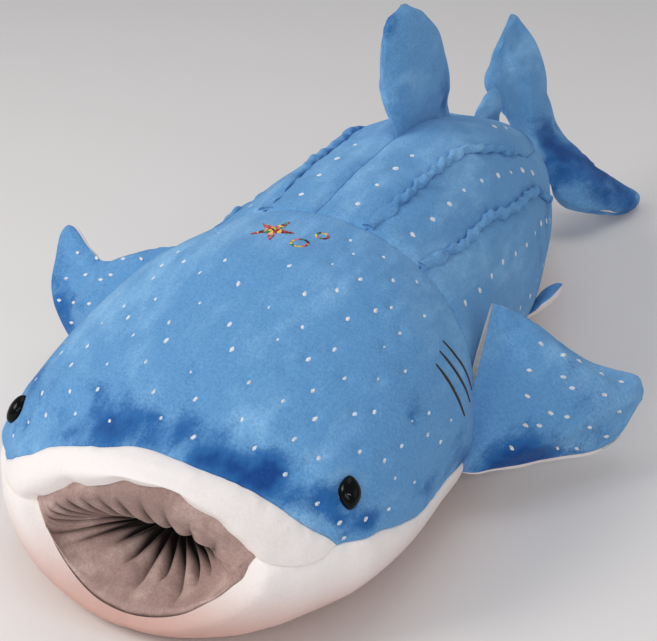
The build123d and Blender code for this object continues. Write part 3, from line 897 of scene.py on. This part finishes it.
def makeRidges():
    for kind in ("inner", "outer"):
        for name, side in (("left", 1), ("right", -1)):
            spec = ridges[kind]
            s = np.linspace(spec["from"], spec["to"], dense(260))
            phi = side * spec["line"](s)
            flat = bodyPoint(s, phi)
            normals = bodyNormal(s, phi)
            length = lengthsAlong(flat)
            reach = ridges["flatStart"] * (1.0 if kind == "inner" else 0.5)
            start = smoothStep((length - reach * 0.5) / (reach * 0.6))
            end = smoothStep((length[-1] - length) / 40)
            wave = waves(length, 15, 11 + side + len(kind))
            radii = ridges["radius"] * (1.0 + 0.36 * wave * start) * (0.35 + 0.65 * end)
            flats = np.stack([1.15 + 0.45 * (1 - start), 0.5 + 0.55 * start], -1)
            wobble = 2.2 * waves(length, 24, 15 + side, row=9)
            tangents = np.gradient(flat, axis=0)
            tangents /= np.linalg.norm(tangents, axis=1, keepdims=True)
            sideways = np.cross(tangents, normals)
            height = 0.9 + 1.2 * start * end + 0.9 * wave * start
            under = np.array([onSurface("cover", f, n) for f, n in zip(flat[::4], normals[::4])])
            sunk = np.einsum("ij,ij->i", under - flat[::4], normals[::4])
            height += 0.5 * np.interp(np.arange(len(s)), np.arange(len(s))[::4], sunk)
            centres = flat + normals * height[:, None] + sideways * (wobble * start)[:, None]
            drift = 0.5 * waves(length, 60, 19 + side, row=4)
            turns = 2 * math.pi * (length / ridges["twist"] + drift) * side
            points = ropeAlong(centres, normals, radii, flats, turns)
            around = ridges["around"]
            rows = len(s)
            faces = gridFaces(rows, around, closed=True)
            faces.append(tuple(range(around)))
            faces.append(tuple(reversed(range((rows - 1) * around, rows * around))))
            if side < 0:
                faces = [face[::-1] for face in faces]
            fold = makePiece(f"ridge_{kind}_{name}_fold", points, faces, finishes["blue"], "trunk",
                             (f"ridge_{kind}_{name}",), levels=1)
            addPointValues(fold, "nap", crushAndShadeAmount(np.repeat(flat, around, axis=0)) + 0.25)


makeRidges()
print("ridges made")


def bar(start, end, up, radius):
    # one laid thread: a short round bar, tapered at both ends
    start, end, up = np.asarray(start), np.asarray(end), np.asarray(up)
    along = end - start
    length = np.linalg.norm(along) or 1e-6
    along = along / length
    side = np.cross(up, along)
    side /= np.linalg.norm(side) or 1e-6
    up = np.cross(along, side)
    profile = [(0.0, 0.25, -0.6), (0.12, 0.85, -0.1), (0.5, 1.0, 0.25), (0.88, 0.85, -0.1), (1.0, 0.25, -0.6)]
    points = []
    for share, thick, lift in profile:
        middle = start + along * length * share + up * radius * lift
        for k in range(6):
            angle = 2 * math.pi * k / 6
            ring = side * math.cos(angle) + up * math.sin(angle)
            points.append(middle + ring * radius * thick)
    faces = gridFaces(len(profile), 6, closed=True)
    last = (len(profile) - 1) * 6
    faces += [tuple(range(5, -1, -1)), tuple(range(last, last + 6))]
    return points, faces


def gather(parts):
    points, faces = [], []
    for partPoints, partFaces in parts:
        faces += [tuple(k + len(points) for k in face) for face in partFaces]
        points += list(partPoints)
    return np.array(points), faces


def coverPoint(s, phi):
    # the finished cover at one place, its normal, and the directions along and round the body
    s, phi = np.array([float(s)]), np.array([float(phi)])
    flat = bodyPoint(s, phi)
    normal = bodyNormal(s, phi)
    along = bodyPoint(s + 0.02, phi)[0] - flat[0]
    along /= np.linalg.norm(along)
    return onSurface("cover", flat[0], normal[0]), normal[0], along, np.cross(normal[0], along)


stitching = {"seed": 11, "lift": 0.15, "gillWidth": 1.9, "gillPitch": 0.8, "gillThread": 0.55}
rng = random.Random(stitching["seed"])


def satinDot(s, phi, halfWidth, halfLength, count):
    centre, normal, along, across = coverPoint(s, phi)
    tilt = rng.uniform(-0.35, 0.35)
    size = rng.uniform(0.78, 1.08)
    lengthways = along * math.cos(tilt) + across * math.sin(tilt)
    return satinAt(centre, normal, lengthways, halfWidth * size, halfLength * size, count)


def satinAt(centre, normal, lengthways, halfWidth, halfLength, count):
    wide = np.cross(normal, lengthways)
    parts = []
    for k in range(count):
        share = (k + 0.5) / count * 2 - 1
        half = halfWidth * math.sqrt(max(0.05, 1 - share**2)) * rng.uniform(0.88, 1.12)
        middle = centre + lengthways * share * halfLength + wide * rng.uniform(-0.15, 0.15)
        middle = middle + normal * stitching["lift"] * (1.6 - share**2)
        skew = lengthways * rng.uniform(0.1, 0.35)
        radius = halfLength / count * 1.15
        parts.append(bar(middle - wide * half - skew, middle + wide * half + skew, normal, radius))
    return parts


def makeDots():
    parts = []
    for s, phi in headDotPlaces:
        parts += satinDot(s, phi, *dots["headSize"], 6)
    points, faces = gather(parts)
    makePiece("headDots", points, faces, finishes["spotThread"], "trunk", ("head_spots",))
    parts = []
    for s, phi in backDotPlaces:
        if s < dots["lastStation"]:
            parts += satinDot(s, phi, *dots["backSize"], 11)
    points, faces = gather(parts)
    makePiece("backDots", points, faces, finishes["spotThread"], "trunk", ("back_spots",))


makeDots()
print("dots sewn")

# gill lines from top to bottom: places along the body and heights
gills = [((-108, 160), (-101, 138), (-96, 112)), ((-93, 164), (-82, 138), (-72, 112)),
         ((-79, 166), (-64, 138), (-48, 110))]


def makeGills():
    for name, side in (("left", 1), ("right", -1)):
        parts = []
        for line in gills:
            t = np.linspace(0, 1, 160)
            ys = smooth([(0, line[0][0]), (0.5, line[1][0]), (1, line[2][0])], t)
            zs = smooth([(0, line[0][1]), (0.5, line[1][1]), (1, line[2][1])], t)
            stations = np.array([stationAt(y) for y in ys])
            phis = side * angleAtHeight(stations, zs)
            flat = bodyPoint(stations, phis)
            length = lengthsAlong(flat)
            count = int(length[-1] / stitching["gillPitch"])
            for k in range(count):
                at = (k + 0.5) / count * length[-1]
                s = float(np.interp(at, length, stations))
                phi = float(np.interp(at, length, phis))
                centre, normal, _, _ = coverPoint(s, phi)
                share = 2 * at / length[-1] - 1
                half = stitching["gillWidth"] * (1 - 0.75 * abs(share) ** 3) * rng.uniform(0.9, 1.1)
                ahead = bodyPoint(np.array([float(np.interp(at + 1, length, stations))]),
                                  np.array([float(np.interp(at + 1, length, phis))]))[0]
                direction = ahead - bodyPoint(np.array([s]), np.array([phi]))[0]
                direction /= np.linalg.norm(direction)
                wide = np.cross(normal, direction)
                centre = centre + normal * 0.35
                skew = direction * 0.5
                parts.append(bar(centre - wide * half - skew, centre + wide * half + skew, normal,
                                 stitching["gillThread"]))
        points, faces = gather(parts)
        makePiece("gillStitches_" + name, points, faces, finishes["gillThread"], "trunk",
                  ("gill_stitches_" + name,))


makeGills()
print("gills sewn")

# a starfish with two bubbles, sewn on the crown: places across and along the head
motif = {"star": (-14, -66), "tip": 20.0, "notch": 8.5, "turn": 0.3, "pitch": 0.85,
         "bubbles": [((18, -80), 7.0), ((28, -58), 5.0)]}


def crownPoint(x, y):
    s = stationAt(y)
    phi = float(angleAtWidth(np.array([s]), np.array([abs(x)]))[0]) * (1 if x >= 0 else -1)
    centre, normal, _, _ = coverPoint(s, phi)
    return centre + normal * 0.3, normal


def makeMotif():
    parts = []
    cx, cy = motif["star"]
    for arm in range(5):
        angle = motif["turn"] + 2 * math.pi * arm / 5
        tip = np.array([math.sin(angle), math.cos(angle)])
        wide = np.array([tip[1], -tip[0]])
        count = int(motif["tip"] / motif["pitch"])
        for k in range(1, count):
            out = motif["pitch"] * k
            share = out / motif["tip"]
            half = motif["notch"] * 0.62 * (1 - share) * min(1, share * 3.2) + 0.5
            middle = np.array([cx, cy]) + tip * out
            slant = tip * 0.5
            start = middle - wide * half - slant
            end = middle + wide * half + slant
            first, normal = crownPoint(*start)
            second, _ = crownPoint(*end)
            parts.append(bar(first, second, normal, 0.55))
    for (bx, by), radius in motif["bubbles"]:
        count = int(2 * math.pi * radius / motif["pitch"])
        for k in range(count):
            angle = 2 * math.pi * k / count
            spoke = np.array([math.sin(angle), math.cos(angle)])
            first, normal = crownPoint(*(np.array([bx, by]) + spoke * (radius - 1.1)))
            second, _ = crownPoint(*(np.array([bx, by]) + spoke * (radius + 1.1)))
            parts.append(bar(first, second, normal, 0.5))
    points, faces = gather(parts)
    makePiece("starfishMotif", points, faces, finishes["motifThread"], "trunk",
              ("head_motif",))


makeMotif()
print("motif sewn")


def makeEyes():
    for name, angle in (("left", eyeAngles[0]), ("right", eyeAngles[1])):
        s = np.array([eyes["station"]])
        phi = np.array([angle])
        flat = bodyPoint(s, phi)[0]
        normal = bodyNormal(s, phi)[0]
        sideways = 1 if name == "left" else -1
        up = np.cross(normal, (eyes["level"][0] * sideways, eyes["level"][1], 0)) * sideways
        up /= np.linalg.norm(up)
        side = np.cross(up, normal)
        around = 48
        points = []
        for out, height in eyes["dome"]:
            for k in range(around):
                turn = 2 * math.pi * k / around
                wide = eyes["halfWidth"] * math.cos(turn) * (1 - 0.22 * math.sin(turn) ** 2)
                tall = eyes["halfHeight"] * math.sin(turn) * (1 + 0.05 * abs(math.sin(turn)) ** 3)
                points.append(flat + side * wide * out + up * tall * out
                              + normal * (eyes["bulge"] * height * 0.95 - 0.8))
        for depth in eyes["stemDepths"]:
            for k in range(around):
                turn = 2 * math.pi * k / around
                spoke = side * math.cos(turn) + up * math.sin(turn)
                points.append(flat + spoke * eyes["stemRadius"] + normal * depth)
        rows = len(eyes["dome"]) + len(eyes["stemDepths"])
        faces = gridFaces(rows, around, closed=True)
        faces.append(tuple(range(around))[::-1])
        faces.append(tuple(range((rows - 1) * around, rows * around)))
        if name == "left":
            faces = [face[::-1] for face in faces]
        makePiece("eye_" + name + "_button", points, faces, finishes["eye"], "trunk",
                  ("eye_" + name,), levels=1)


makeEyes()
print("eyes set")

# Sections of each fin: distance out from its root, start and end along its root line, thickness
finSections = {
    "pectoral": [(-14, -2, 148, 11), (6, 0, 150, 14), (30, 10, 150, 25), (60, 22, 147, 31),
                 (95, 40, 142, 30), (125, 56, 141, 24), (144, 76, 140, 17), (156, 106, 139, 8)],
    # the right side fin lies curled, so its trailing edge is hollow
    "pectoral_curled": [(-14, -2, 148, 11), (6, 0, 150, 14), (30, 8, 146, 25), (60, 14, 136, 31),
                        (95, 30, 126, 30), (125, 52, 134, 24), (144, 76, 148, 17), (156, 112, 156, 9)],
    "pelvic": [(-8, 2, 50, 7), (4, 2, 52, 8), (12, 5, 53, 12), (20, 11, 53, 11), (26, 22, 52, 5)],
    "dorsal": [(-10, -64, 68, 8), (6, -66, 69, 11), (26, -72, 74, 20), (50, -74, 80, 25), (74, -68, 73, 24),
               (94, -56, 57, 19), (107, -38, 40, 12), (112, -20, 22, 6)],
    "second_dorsal": [(-6, -40, 42, 7), (5, -38, 42, 8), (16, -24, 38, 13), (28, -6, 32, 11),
                      (37, 10, 28, 5)],
    "tail_upper": [(0, -4, 116, 14), (14, 6, 114, 16), (44, 14, 118, 24), (72, 2, 134, 28),
                   (98, -12, 144, 24), (120, 20, 145, 18), (138, 62, 144, 12), (150, 104, 140, 6)],
    "tail_lower": [(0, -4, 116, 14), (14, 8, 114, 16), (40, 18, 117, 24), (66, 12, 124, 26),
                   (90, 26, 138, 22), (112, 60, 151, 16), (132, 98, 164, 10), (144, 132, 166, 6)],
}
sewing = {
    "tipRound": 10.0,      # the tip's last stretch, which is rounded off
    "rimShrink": 0.05,     # how much the seam gathers
    "pressure": 4.0,
    "outlineGive": 0.22,   # share of the outline's shrinking that is kept
    "mostMove": 8.0,       # millimetres a point may move as the filling swells
    "frames": 20,
    "fillingShare": 0.4,   # how much of the thickness the loose filling takes, and how far it stops short
    "fillingShort": 36.0,
    "cell": 4.2,           # size of the cloth's mesh
    "fillingCell": 9.0,
    "rootBend": 22.0,      # where the tail turns from one lobe to the other
    "bendFrom": -6.0,      # start of the bend line stored with each fin piece, which nothing reads
}


class FinShape:
    # where a point of a fin is: out from the root, along its root line, and to which side
    def __init__(self, root, chord, ups, sections, downs=None, wraps=(), curl=None):
        self.root = np.array(root, float)
        self.chord = np.array(chord, float) / np.linalg.norm(chord)
        self.up = np.array(ups, float) / np.linalg.norm(ups)
        self.down = None if downs is None else np.array(downs, float) / np.linalg.norm(downs)
        self.sections = sections
        self.wraps = wraps      # (side, edge, amount, from out, to out): that side bulges past the seam
        self.curl = curl        # (from out, amount towards the first side)
        self.low, self.high = sections[0][0], sections[-1][0] + 4

    def spine(self, out):
        if self.down is None:
            return out[:, None] * self.up, np.tile(self.up, (len(out), 1))
        steps = np.linspace(self.low, self.high, 241)
        share = smoothStep((steps + sewing["rootBend"]) / (2 * sewing["rootBend"]))[:, None]
        direction = -self.down * (1 - share) + self.up * share
        direction /= np.linalg.norm(direction, axis=1, keepdims=True)
        gap = np.diff(steps)[:, None]
        line = np.concatenate([[[0, 0, 0]], np.cumsum((direction[:-1] + direction[1:]) / 2 * gap, axis=0)])
        line -= np.array([np.interp(0, steps, line[:, k]) for k in range(3)])
        place = np.stack([np.interp(out, steps, line[:, k]) for k in range(3)], -1)
        heading = np.stack([np.interp(out, steps, direction[:, k]) for k in range(3)], -1)
        return place, heading

    def at(self, out, across, side, share=1.0):
        # across runs from -1 to 1 over the chord, side is 1 or -1
        start, end, thick = [smooth([(row[0], row[k]) for row in self.sections],
                                    np.clip(out, self.low, self.sections[-1][0])) for k in (1, 2, 3)]
        half = (end - start) / 2 * (0.5 + 0.5 * share)
        tipLength = sewing["tipRound"]
        nearTip = np.clip((out - (self.high - tipLength)) / tipLength, 0, 1)
        if self.down is not None:
            nearTip = np.maximum(nearTip, np.clip(((self.low + tipLength) - out) / tipLength, 0, 1))
        half = half * np.sqrt(1 - (0.95 * nearTip) ** 2)
        roundness = np.sqrt(np.maximum(1 - np.abs(across) ** 2.4, 0))
        tipFade = np.sqrt(np.maximum(1 - nearTip**2, 0.0))
        place, heading = self.spine(out)
        normal = np.cross(heading, self.chord)
        normal /= np.linalg.norm(normal, axis=1, keepdims=True)
        along = (start + end) / 2 + half * across
        rise = side * thick / 2 * share * roundness * tipFade
        for wrapSide, edge, amount, low, high in self.wraps:
            if side == wrapSide:
                near = smoothStep((out - low) / 20) * smoothStep((high - out) / 20)
                bulge = roundness * np.exp(-((across - edge) / 0.32) ** 2) * 1.5
                along = along + edge * amount * bulge * near
        if self.curl:
            rise = rise + self.curl[1] * (np.maximum(out - self.curl[0], 0) / 80) ** 2
        return self.root + place + self.chord * along[:, None] + normal * rise[:, None]


def finGrid(shape, share=1.0, cell=sewing["cell"], ends=(False, True)):
    # both sides of the fin as one closed net, sharing the points of the rim; a smaller share makes a filling
    length = shape.high - shape.low
    rows = max(12, int(length / cell))
    wide = max(shape.sections, key=lambda row: row[2] - row[1])
    columns = max(12, int((wide[2] - wide[1]) / cell))
    short = (1 - share) * sewing["fillingShort"]
    outs = np.linspace(shape.low + (short if ends[0] else 0), shape.high - short, rows)
    acrosses = np.sin(np.linspace(-math.pi / 2, math.pi / 2, columns))
    o, a = np.meshgrid(outs, acrosses, indexing="ij")
    upper = shape.at(o.ravel(), a.ravel(), 1, share)
    lower = shape.at(o.ravel(), a.ravel(), -1, share)
    points = list(upper)
    index = {}
    for r in range(rows):
        for c in range(columns):
            k = r * columns + c
            onRim = c in (0, columns - 1) or (ends[1] and r == rows - 1) or (ends[0] and r == 0)
            if onRim:
                index[k] = k
            else:
                index[k] = len(points)
                points.append(lower[k])
    upperFaces, lowerFaces = [], []
    for r in range(rows - 1):
        for c in range(columns - 1):
            k = r * columns + c
            quad = (k, k + columns, k + columns + 1, k + 1)
            upperFaces.append(quad)
            lowerFaces.append(tuple(index[q] for q in quad)[::-1])
    rim = [k for k in range(rows * columns) if index[k] == k]
    outOf = np.array([outs[k // columns] for k in range(rows * columns)])
    return np.array(points), upperFaces, lowerFaces, rim, outOf, index


def swell(name, points, faces, rim, pinned, thickWay, sides):
    # cloth filled under pressure, gathered at its seam; the outline is kept close to its pattern
    rest = np.array(points)
    mesh = bpy.data.meshes.new(name)
    mesh.from_pydata((rest * mm).tolist(), [], faces)
    cloth = bpy.data.objects.new(name, mesh)
    bpy.context.scene.collection.objects.link(cloth)
    gathered = cloth.vertex_groups.new(name="gathered")
    gathered.add(rim, 1.0, "ADD")
    held = cloth.vertex_groups.new(name="held")
    held.add(pinned, 1.0, "ADD")
    modifier = cloth.modifiers.new("filling", "CLOTH")
    settings = modifier.settings
    settings.quality = 6
    settings.mass = 0.25
    settings.tension_stiffness = 14
    settings.compression_stiffness = 14
    settings.shear_stiffness = 8
    settings.bending_stiffness = 1.2
    settings.use_pressure = True
    settings.uniform_pressure_force = sewing["pressure"]
    settings.effector_weights.gravity = 0
    settings.vertex_group_mass = "held"
    settings.vertex_group_shrink = "gathered"
    settings.shrink_min = -0.03
    settings.shrink_max = sewing["rimShrink"]
    settings.pin_stiffness = 5
    modifier.collision_settings.use_collision = False
    modifier.point_cache.frame_start = 1
    modifier.point_cache.frame_end = sewing["frames"]
    scene = bpy.context.scene
    for frameNumber in range(1, sewing["frames"] + 1):
        scene.frame_set(frameNumber)
        evaluated = cloth.evaluated_get(bpy.context.evaluated_depsgraph_get())
    moved = np.empty(len(rest) * 3)
    evaluated.data.vertices.foreach_get("co", moved)
    moved = moved.reshape(-1, 3) / mm
    bpy.data.objects.remove(cloth)
    scene.frame_set(1)
    shift = moved - rest
    puff = shift @ thickWay
    puff = np.where(sides > 0, np.maximum(puff, -1.2), np.where(sides < 0, np.minimum(puff, 1.2), puff * 0.5))
    puff = puff[:, None] * thickWay
    shift = shift - (shift @ thickWay)[:, None] * thickWay + puff
    shift = puff + (shift - puff) * sewing["outlineGive"]
    size = np.linalg.norm(shift, axis=1, keepdims=True)
    print(name, "swelled by at most", round(float(size.max()), 1), "mm")
    return rest + shift * np.minimum(1, sewing["mostMove"] / np.maximum(size, 1e-6))


def onlyUsed(points, faces):
    used = sorted({k for face in faces for k in face})
    renumber = {k: n for n, k in enumerate(used)}
    return points[used], [tuple(renumber[k] for k in face) for face in faces]


def makeFin(fin, jointName, chord, span, sections, parts, downs=None, blendTo=22.0, root=None,
            blendLine=None, ends=(False, True), wraps=(), curl=None, patches=()):
    # parts names the cloth of the first side, then of the other side, with its colour
    joint = joints[jointName]
    at = np.array(joint["pos_m"]) / mm if root is None else np.array(root, float)
    shape = FinShape(at, chord, span, sections, downs, wraps=wraps, curl=curl)
    points, upper, lower, rim, outs, index = finGrid(shape, ends=ends)
    if downs is None:
        pinned = [k for k in range(len(outs)) if outs[k] <= shape.low + 10]
        pinned += [index[k] for k in pinned]
    else:
        pinned = [k for k, p in enumerate(points) if p[1] < at[1] + 10]
    faces = upper + lower
    normal = np.cross(shape.up, shape.chord)
    normal /= np.linalg.norm(normal)
    sides = np.where(np.arange(len(points)) < len(outs), 1, -1)
    sides[rim] = 0
    swollen = swell(fin, points, faces, rim, sorted(set(pinned)), normal, sides)
    puckers = np.exp(-nearest(treeOf(swollen[rim]), swollen) / 8)
    middle = swollen.mean(axis=0)
    side = np.sign((swollen - middle) @ normal)[:, None] * normal
    swollen = swollen + side * (0.9 * lumps(swollen, 8, 21) * puckers + 0.9 * lumps(swollen, 34, 22))[:, None]
    start, end = blendLine if blendLine else (at + shape.up * sewing["bendFrom"], at + shape.up * blendTo)
    bend = {"from": "trunk", "to": joint["child"], "start": tuple(start * mm), "end": tuple(end * mm)}
    for (part, kind), partFaces in zip(parts.items(), (upper, lower)):
        node = f"{fin}_{part}"
        name = node + "_cloth"
        partPoints, partFaces = onlyUsed(swollen, partFaces)
        slotName = "blue_plush" if kind == "blue" else "white_plush"
        addSurface(name, partPoints, partFaces)
        piece = makePiece(name, partPoints, partFaces, finishes[kind], bend, (node,),
                          levels=1)
        # darker towards the rim seam; on the white side this is painted warm shade
        edge = np.exp(-nearest(treeOf(swollen[rim]), partPoints) / 12)
        if kind == "blue":
            nap = 0.34 * lumps(partPoints, 46, 31) + 0.14 * lumps(partPoints, 14, 32) + 0.2 * edge
            # dark patches on the blue side: crushed pile and painted shade
            for out, along, radius, strength in patches:
                centre = shape.root + shape.spine(np.array([float(out)]))[0][0] + shape.chord * along
                nap += strength * np.exp(-(np.linalg.norm(partPoints - centre, axis=1) / radius) ** 2)
            addPointValues(piece, "nap", nap)
        else:
            addPointValues(piece, "nap", 0.35 * edge)
    filler, fUpper, fLower, *_ = finGrid(shape, sewing["fillingShare"], sewing["fillingCell"], ends)
    makePiece(fin + "Filling", filler, fUpper + fLower, finishes["filling"], bend,
              (fin + "_stuffing",))
    return shape, bend


def finDots(shape, bend, surface, side, name, node):
    # dots scattered over the blue face of a side fin
    scatter = random.Random(dots["seed"] + 4)
    normal = np.cross(shape.up, shape.chord) * side
    normal /= np.linalg.norm(normal)
    parts = []
    for out in range(30, 140, 22):
        for along in range(30, 140, 23):
            a = out + scatter.uniform(-6, 6)
            b = along + scatter.uniform(-6, 6)
            if 0.42 * a + 12 < b < 128:
                near = shape.root + shape.up * a + shape.chord * b
                centre = onSurface(surface, near, normal, 45.0)
                wide = np.cross(normal, shape.up)
                tilt = rng.uniform(-0.5, 0.5)
                lengthways = shape.up * math.cos(tilt) + wide * math.sin(tilt)
                parts += satinAt(centre, normal, lengthways, *dots["finSize"], 6)
    points, faces = gather(parts)
    makePiece(name, points, faces, finishes["spotThread"], bend, (node,))


def leaned(vector, axis, degrees):
    axis = np.array(axis, float) / np.linalg.norm(axis)
    vector = np.array(vector, float)
    turn = math.radians(degrees)
    return (vector * math.cos(turn) + np.cross(axis, vector) * math.sin(turn)
            + axis * (axis @ vector) * (1 - math.cos(turn)))


def mirror(vector):
    return np.array([-vector[0], vector[1], vector[2]])


def makeSideFins():
    chord, span = np.array([-0.03, 0.69, 0.72]), np.array([0.71, 0.50, -0.48])
    shape, bend = makeFin("pectoral_left", "pectoral_left_flap", chord, span, finSections["pectoral"],
                          {"top": "blue", "underside": "white"}, wraps=[(-1, -1, 11.0, -10, 150)],
                          patches=[(30, 20, 26, 0.9), (60, 34, 30, 0.8), (52, 62, 15, 0.8),
                                   (95, 110, 22, 0.5)])
    finDots(shape, bend, "pectoral_left_top_cloth", 1, "pectoral_left_dots", "pectoral_left_spots")
    raised = leaned(span, chord, -28)
    shape, bend = makeFin("pectoral_right", "pectoral_right_flap", mirror(chord), mirror(raised),
                          finSections["pectoral_curled"], {"underside": "white", "top": "blue"},
                          curl=(70, -16.0), wraps=[(1, 1, 7.0, 100, 170), (1, 1, 6.0, -10, 26)],
                          patches=[(120, 60, 40, 0.7)])
    finDots(shape, bend, "pectoral_right_top_cloth", -1, "pectoral_right_dots", "pectoral_right_spots")
    makeFin("pelvic_left", "pelvic_left_flap", np.array([0, 1, 0.05]), np.array([0.72, 0.20, 0.62]),
            finSections["pelvic"], {"top": "blue", "underside": "white"}, blendTo=10.0)
    makeFin("pelvic_right", "pelvic_right_flap", np.array([0, 1, 0.05]), np.array([-0.72, 0.20, 0.62]),
            finSections["pelvic"], {"underside": "white", "top": "blue"}, blendTo=10.0)


def makeBackFins():
    bothSides = {"right": "blue", "left": "blue"}
    makeFin("dorsal", "dorsal_fin_sway", np.array([0, 0.99, -0.14]), np.array([-0.24, 0.14, 0.96]),
            finSections["dorsal"], bothSides,
            patches=[(24, 40, 24, 1.0), (50, 10, 20, 0.7), (80, -10, 14, 0.4)])
    makeFin("second_dorsal", "second_dorsal_sway", np.array([0, 0.93, -0.37]),
            np.array([-0.10, 0.36, 0.93]), finSections["second_dorsal"], bothSides)


def makeTail():
    up, down = math.radians(24), math.radians(49)
    lower = [(-row[0], row[1], row[2], row[3]) for row in reversed(finSections["tail_lower"][1:])]
    rootHeight = joints["tail_fin_swing"]["pos_m"][2] / mm + 3
    root = np.array([0, backBox[1].y / mm + 7, rootHeight])
    # the dark patches on the lower lobe, at negative distances out, are painted shade
    makeFin("tail", "tail_fin_swing", np.array([0, 1, 0]), np.array([-math.sin(up), 0, math.cos(up)]),
            lower + finSections["tail_upper"], {"right": "blue", "left": "blue"},
            downs=np.array([math.sin(down), 0, -math.cos(down)]), root=root,
            blendLine=(root - np.array([0, 12, 0]), root + np.array([0, 26, 0])), ends=(True, True),
            patches=[(-20, 60, 40, 1.0), (-60, 80, 40, 0.8), (-100, 120, 40, 0.9), (40, 50, 22, 0.6)])


makeSideFins()
makeBackFins()
makeTail()
print("fins made")


bodyFilling = {"columns": 72, "liningGap": 13.0, "depth": 9.0, "tailDepth": 6.0, "lastStation": 11.8}


def makeBodyFilling():
    # starts deep behind the mouth's lining, comes forward round it and runs back to the tail
    columns = bodyFilling["columns"]
    phi = np.linspace(0, 2 * math.pi, columns, endpoint=False)
    rows = []
    for t in np.linspace(1.2, 0.3, 14):
        place, half, top, bottom = [float(value) for value in liningShape(t)]
        gap = bodyFilling["liningGap"]
        rise = (top - bottom) / 2 + gap
        rows.append(np.stack([(half + gap) * np.sin(phi), np.full(columns, place + 6),
                              np.maximum((top + bottom) / 2 + rise * np.cos(phi), 6)], -1))
    for s in np.concatenate([np.linspace(0.95, 3, 16), np.linspace(3.2, bodyFilling["lastStation"], 50)]):
        stations = np.full(columns, s)
        nearLips = max(0.0, 2.2 - s)
        depth = bodyFilling["depth"] * (1 + nearLips) if s < 11 else bodyFilling["tailDepth"]
        ring = bodyPoint(stations, phi) - bodyNormal(stations, phi) * depth
        ring[:, 2] = np.maximum(ring[:, 2], 4)
        rows.append(ring)
    points = np.concatenate(rows)
    faces = gridFaces(len(rows), columns, closed=True)
    faces.append(tuple(range(columns)))
    faces.append(tuple(reversed(range((len(rows) - 1) * columns, len(rows) * columns))))
    makePiece("bodyFilling", points, faces, finishes["filling"], "trunk",
              ("body_stuffing",))


makeBodyFilling()


def paintNode(node, material):
    piece = frame["nodes"][node]
    piece.data.materials.clear()
    piece.data.materials.append(material)


for node in ("eye_washer_left", "eye_washer_right"):
    paintNode(node, finishes["washer"])
paintNode("throat_tie", finishes["tieThread"])
print("filling and trim done")

# floor and light
room = {
    "floor": (236, 232, 229),
    "floorSize": 12.0,
    "sky": (236, 240, 246),
    "skyStrength": 0.45,
    # place, what it points at, size, power, tint
    "lights": {
        "key": ((-1.5, -1.3, 1.7), (0, -0.1, 0.1), (1.3, 1.0), 30, (255, 250, 245)),
        "overhead": ((0.1, 0.3, 2.3), (0, 0, 0.1), (1.6, 1.4), 7, (250, 250, 255)),
        "front": ((0.7, -2.2, 1.1), (0, -0.3, 0.08), (1.3, 0.8), 8, (255, 250, 247)),
        "rightFill": ((2.2, 0.1, 0.9), (0, 0, 0.1), (1.2, 1.0), 2.0, (255, 240, 232)),
    },
}


def makeFloor():
    finish = Finish("paleFloor")
    places = finish.places()
    tone = finish.noise(places, 3.0, 4.0)
    base = finish.blendColours(tone * 0.5, colour(*room["floor"]), colour(240, 237, 235))
    finish.set(Base_Color=base, Roughness=0.75)
    half = room["floorSize"] / 2
    mesh = bpy.data.meshes.new("floor")
    corners = [(-half, -half, 0), (half, -half, 0), (half, half, 0), (-half, half, 0)]
    mesh.from_pydata(corners, [], [(0, 1, 2, 3)])
    mesh.materials.append(finish.material)
    floor = bpy.data.objects.new("floor", mesh)
    bpy.context.scene.collection.objects.link(floor)


makeFloor()


def makeLight(name, place, aim, size, power, tint=(255, 255, 255)):
    lamp = bpy.data.lights.new(name, "AREA")
    lamp.shape = "RECTANGLE"
    lamp.size, lamp.size_y = size
    lamp.energy = power
    lamp.color = colour(*tint)[:3]
    light = bpy.data.objects.new(name, lamp)
    light.location = place
    light.rotation_euler = (Vector(aim) - Vector(place)).to_track_quat("-Z", "Y").to_euler()
    bpy.context.scene.collection.objects.link(light)


for lightName, spec in room["lights"].items():
    makeLight(lightName, *spec)
# three small lights for the glints in the eyes
for count, offset in enumerate((-0.16, 0.0, 0.16)):
    place = (1.5 + offset * 1.8, -1.6 + offset, 1.5)
    makeLight(f"sparkle_{count}", place, (0.15, -0.26, 0.12), (0.09, 0.09), 1.3)

world = bpy.data.worlds.new("studio")
bpy.context.scene.world = world
world.use_nodes = True
background = next(n for n in world.node_tree.nodes if n.type == "BACKGROUND")
background.inputs["Color"].default_value = colour(*room["sky"])
background.inputs["Strength"].default_value = room["skyStrength"]

view = {"place": (0.5945, -1.1798, 0.7666), "azimuth": 26.60, "elevation": 26.04, "roll": -0.79,
        "lens": 89.49}


def makeCamera():
    a, e, r = (math.radians(view[key]) for key in ("azimuth", "elevation", "roll"))
    back = Vector((math.sin(a) * math.cos(e), -math.cos(a) * math.cos(e), math.sin(e)))
    level = Vector((math.cos(a), math.sin(a), 0))
    rise = back.cross(level)
    right = math.cos(r) * level + math.sin(r) * rise
    up = -math.sin(r) * level + math.cos(r) * rise
    camera = bpy.data.objects.new("camera", bpy.data.cameras.new("camera"))
    camera.data.lens = view["lens"]
    camera.data.sensor_width = 36
    camera.data.clip_start = 0.05
    bpy.context.scene.collection.objects.link(camera)
    matrix = camera.matrix_world.copy()
    for row in range(3):
        matrix[row][0], matrix[row][1], matrix[row][2] = right[row], up[row], back[row]
        matrix[row][3] = view["place"][row]
    camera.matrix_world = matrix
    bpy.context.scene.camera = camera


makeCamera()
bpy.context.scene.view_settings.view_transform = "Standard"
bpy.context.view_layer.update()
